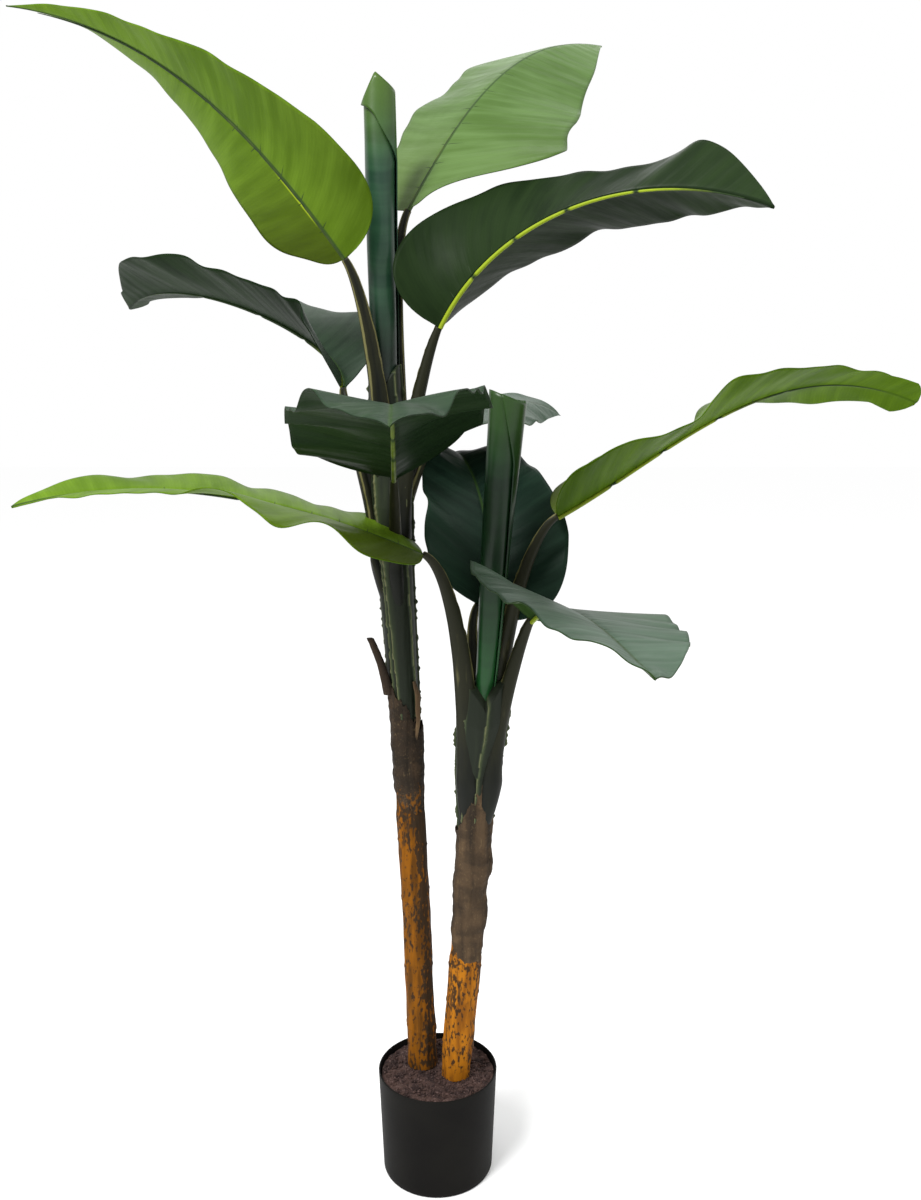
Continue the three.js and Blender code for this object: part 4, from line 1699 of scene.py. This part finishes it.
@dataclass
class Studio:
    """Pale floor, soft lights and the camera."""

    lamps: tuple[Lamp, ...] = (
        Lamp("key_light", (-1.4, -1.8, 3.4), (0, 0, 0.9), 1.3, 125.0),
        Lamp("fill_light", (2.6, -2.0, 1.6), (0, 0, 0.9), 2.2, 5.0),
        Lamp("back_light", (0.6, 2.6, 2.8), (0, 0, 1.0), 2.0, 10.0),
    )
    sky: float = 1.0
    camera_place: Point = (0.032, -1.353, 1.026)
    camera_tilt: float = 80.9
    lens: float = 31.5

    def floor(self) -> bpy.types.Object:
        """Lays a wide pale floor.

        Returns:
            The floor.
        """
        reach = 30.0
        corners = np.array([(-1, -1, 0), (1, -1, 0), (1, 1, 0), (-1, 1, 0)]) * reach
        piece = mesh_object("floor", corners, [[0, 1, 2, 3]])
        graph = Graph("pale_floor")
        piece.data.materials.append(graph.finish((0.99, 0.99, 0.99), 0.95, None, Specular_IOR_Level=0.0))
        return piece

    def world(self) -> None:
        """Sets an even white surround."""
        world = bpy.data.worlds.new("studio_white")
        world.use_nodes = True
        background = world.node_tree.nodes["Background"]
        background.inputs["Color"].default_value = (1.0, 1.0, 1.0, 1.0)
        background.inputs["Strength"].default_value = self.sky
        bpy.context.scene.world = world

    def camera(self) -> bpy.types.Object:
        """Sets the camera.

        Returns:
            The camera.
        """
        data = bpy.data.cameras.new("camera")
        data.lens = self.lens
        data.sensor_width = 36.0
        camera = link("camera", data)
        camera.location = self.camera_place
        camera.rotation_euler = (math.radians(self.camera_tilt), 0.0, 0.0)
        bpy.context.scene.camera = camera
        return camera

    def build(self) -> None:
        """Makes the whole studio."""
        self.floor()
        self.world()
        self.camera()
        for lamp in self.lamps:
            lamp.build()
        bpy.context.scene.view_settings.view_transform = "Standard"


# ------------------------------------------------------------------ the plant
TALL_FIBRE = FibreFinish("tall_sheath_fibre", srgb(66, 51, 36), srgb(46, 36, 26), srgb(29, 24, 18),
                         rust=srgb(98, 60, 12), rust_top=0.60)
SHORT_FIBRE = FibreFinish("short_sheath_fibre", srgb(100, 80, 56), srgb(72, 57, 41), srgb(42, 34, 26),
                          rust=srgb(150, 92, 18), rust_top=0.345)
DARK_FIBRE = FibreFinish("dark_fibre", srgb(78, 58, 40), srgb(46, 36, 27), srgb(24, 21, 17), specks=0.2)
TAN_FIBRE = FibreFinish("tan_fibre", srgb(120, 98, 70), srgb(86, 68, 48), srgb(48, 38, 26))


def stems() -> list[Any]:
    """The trunks, leaf-base stems, sleeves and scraps of both stems."""
    black = srgb(44, 35, 25)
    return [
        Trunk("tall_trunk", TALL,
              ((0, 0.022), (0.025, 0.0203), (0.14, 0.0196), (0.37, 0.0194), (0.378, 0.0184),
               (0.501, 0.0184)),
              BarkFinish("tall_bark", srgb(122, 73, 10), srgb(84, 51, 12), black,
                         0.44, 0.50, 0.006, (-0.0215, -0.0405), 1.0),
              (0.06, 0.15, 0.255, 0.33)),
        Trunk("short_trunk", SHORT,
              ((0, 0.0198), (0.06, 0.021), (0.12, 0.0218), (0.175, 0.0215), (0.188, 0.019),
               (0.4, 0.019)),
              BarkFinish("short_bark", srgb(160, 99, 18), srgb(118, 70, 16), black,
                         0.22, 0.34, 0.014, (0.0255, 0.072), 0.5),
              (0.05, 0.12, 0.165)),
        LeafBaseStem("tall_stem", TALL,
                     ((0.501, 0.0184), (0.575, 0.020), (0.66, 0.022), (0.72, 0.024), (0.79, 0.028),
                      (0.85, 0.026), (0.9, 0.022), (0.95, 0.020)),
                     ((-1.9, -2.5), (-0.7, -0.9), (0.9, 0.6), (2.6, 2.2), (4.0, 3.9)), mouth=0.035),
        LeafBaseStem("short_stem", SHORT,
                     ((0.34, 0.019), (0.39, 0.0235), (0.44, 0.0275), (0.48, 0.031), (0.51, 0.0335),
                      (0.545, 0.031)),
                     ((-1.7, -1.5), (-0.6, -0.5), (0.9, 0.9), (2.4, 2.6), (3.9, 3.9)), rows=150,
                     mouth=0.045),
        Sleeve("tall_sheath", TALL, 0.395, 0.022,
               ((0.36, 0.0210), (0.44, 0.0214), (0.5, 0.0220), (0.57, 0.0230)),
               0.528, 0.033, math.pi, TALL_FIBRE),
        Sleeve("short_sheath", SHORT, 0.205, 0.055,
               ((0.17, 0.0218), (0.245, 0.0222), (0.33, 0.0250), (0.41, 0.0278), (0.48, 0.0305)),
               0.420, 0.060, 0.0, SHORT_FIBRE,
               lumps=((-0.4, 0.312, 0.0050), (-0.6, 0.278, -0.0032), (-0.5, 0.244, 0.0052),
                      (-1.6, 0.262, 0.0034), (-1.7, 0.232, -0.0026), (-2.3, 0.212, 0.0030),
                      (-1.9, 0.325, 0.0024))),
        Scrap("tall_flap",
              ((-0.0285, 0.004, 0.700), (-0.0225, 0.002, 0.680), (-0.0225, 0.004, 0.650),
               (-0.027, 0.008, 0.615)),
              (0.004, 0.012, 0.010, 0.003), (1.0, -0.5, 0.0), 0.002, TAN_FIBRE),
    ]


def rolled_leaves() -> list[RolledLeaf]:
    """The two rolled young leaves."""
    return [
        RolledLeaf("tall_rolled_leaf", (-0.065, 0.025, 1.070), (-0.069, 0.025, 1.430), (0.0175, 0.0212),
                   ((-1.0, -0.008), (-0.15, 0.028), (1.0, 0.010)), (-2.9, -0.15, 0.25),
                   srgb(68, 94, 26), (srgb(46, 80, 56), srgb(28, 58, 42)), srgb(13, 30, 19)),
        RolledLeaf("short_rolled_leaf", (0.061, -0.020, 0.660), (0.090, -0.022, 1.068), (0.013, 0.0245),
                   ((-1.0, 0.011), (0.0, 0.001), (1.0, -0.008)), (-1.9, -0.9, -0.5),
                   srgb(38, 66, 20), (srgb(18, 46, 20), srgb(11, 34, 16)), srgb(26, 74, 34)),
    ]


def main() -> None:
    """Builds the studio, the pot, the stems and the leaves in order."""
    logging.basicConfig(level=logging.INFO, format="%(message)s")
    Studio().build()
    tubes = tube_tree()
    Pot().build(crumb_tree("crumbs_over_soil"))
    for piece in stems():
        piece.build()
    CutStalk().build(DARK_FIBRE)
    for roll in rolled_leaves():
        roll.build()
    Foliage().build(tubes)


if __name__ == "__main__":
    main()
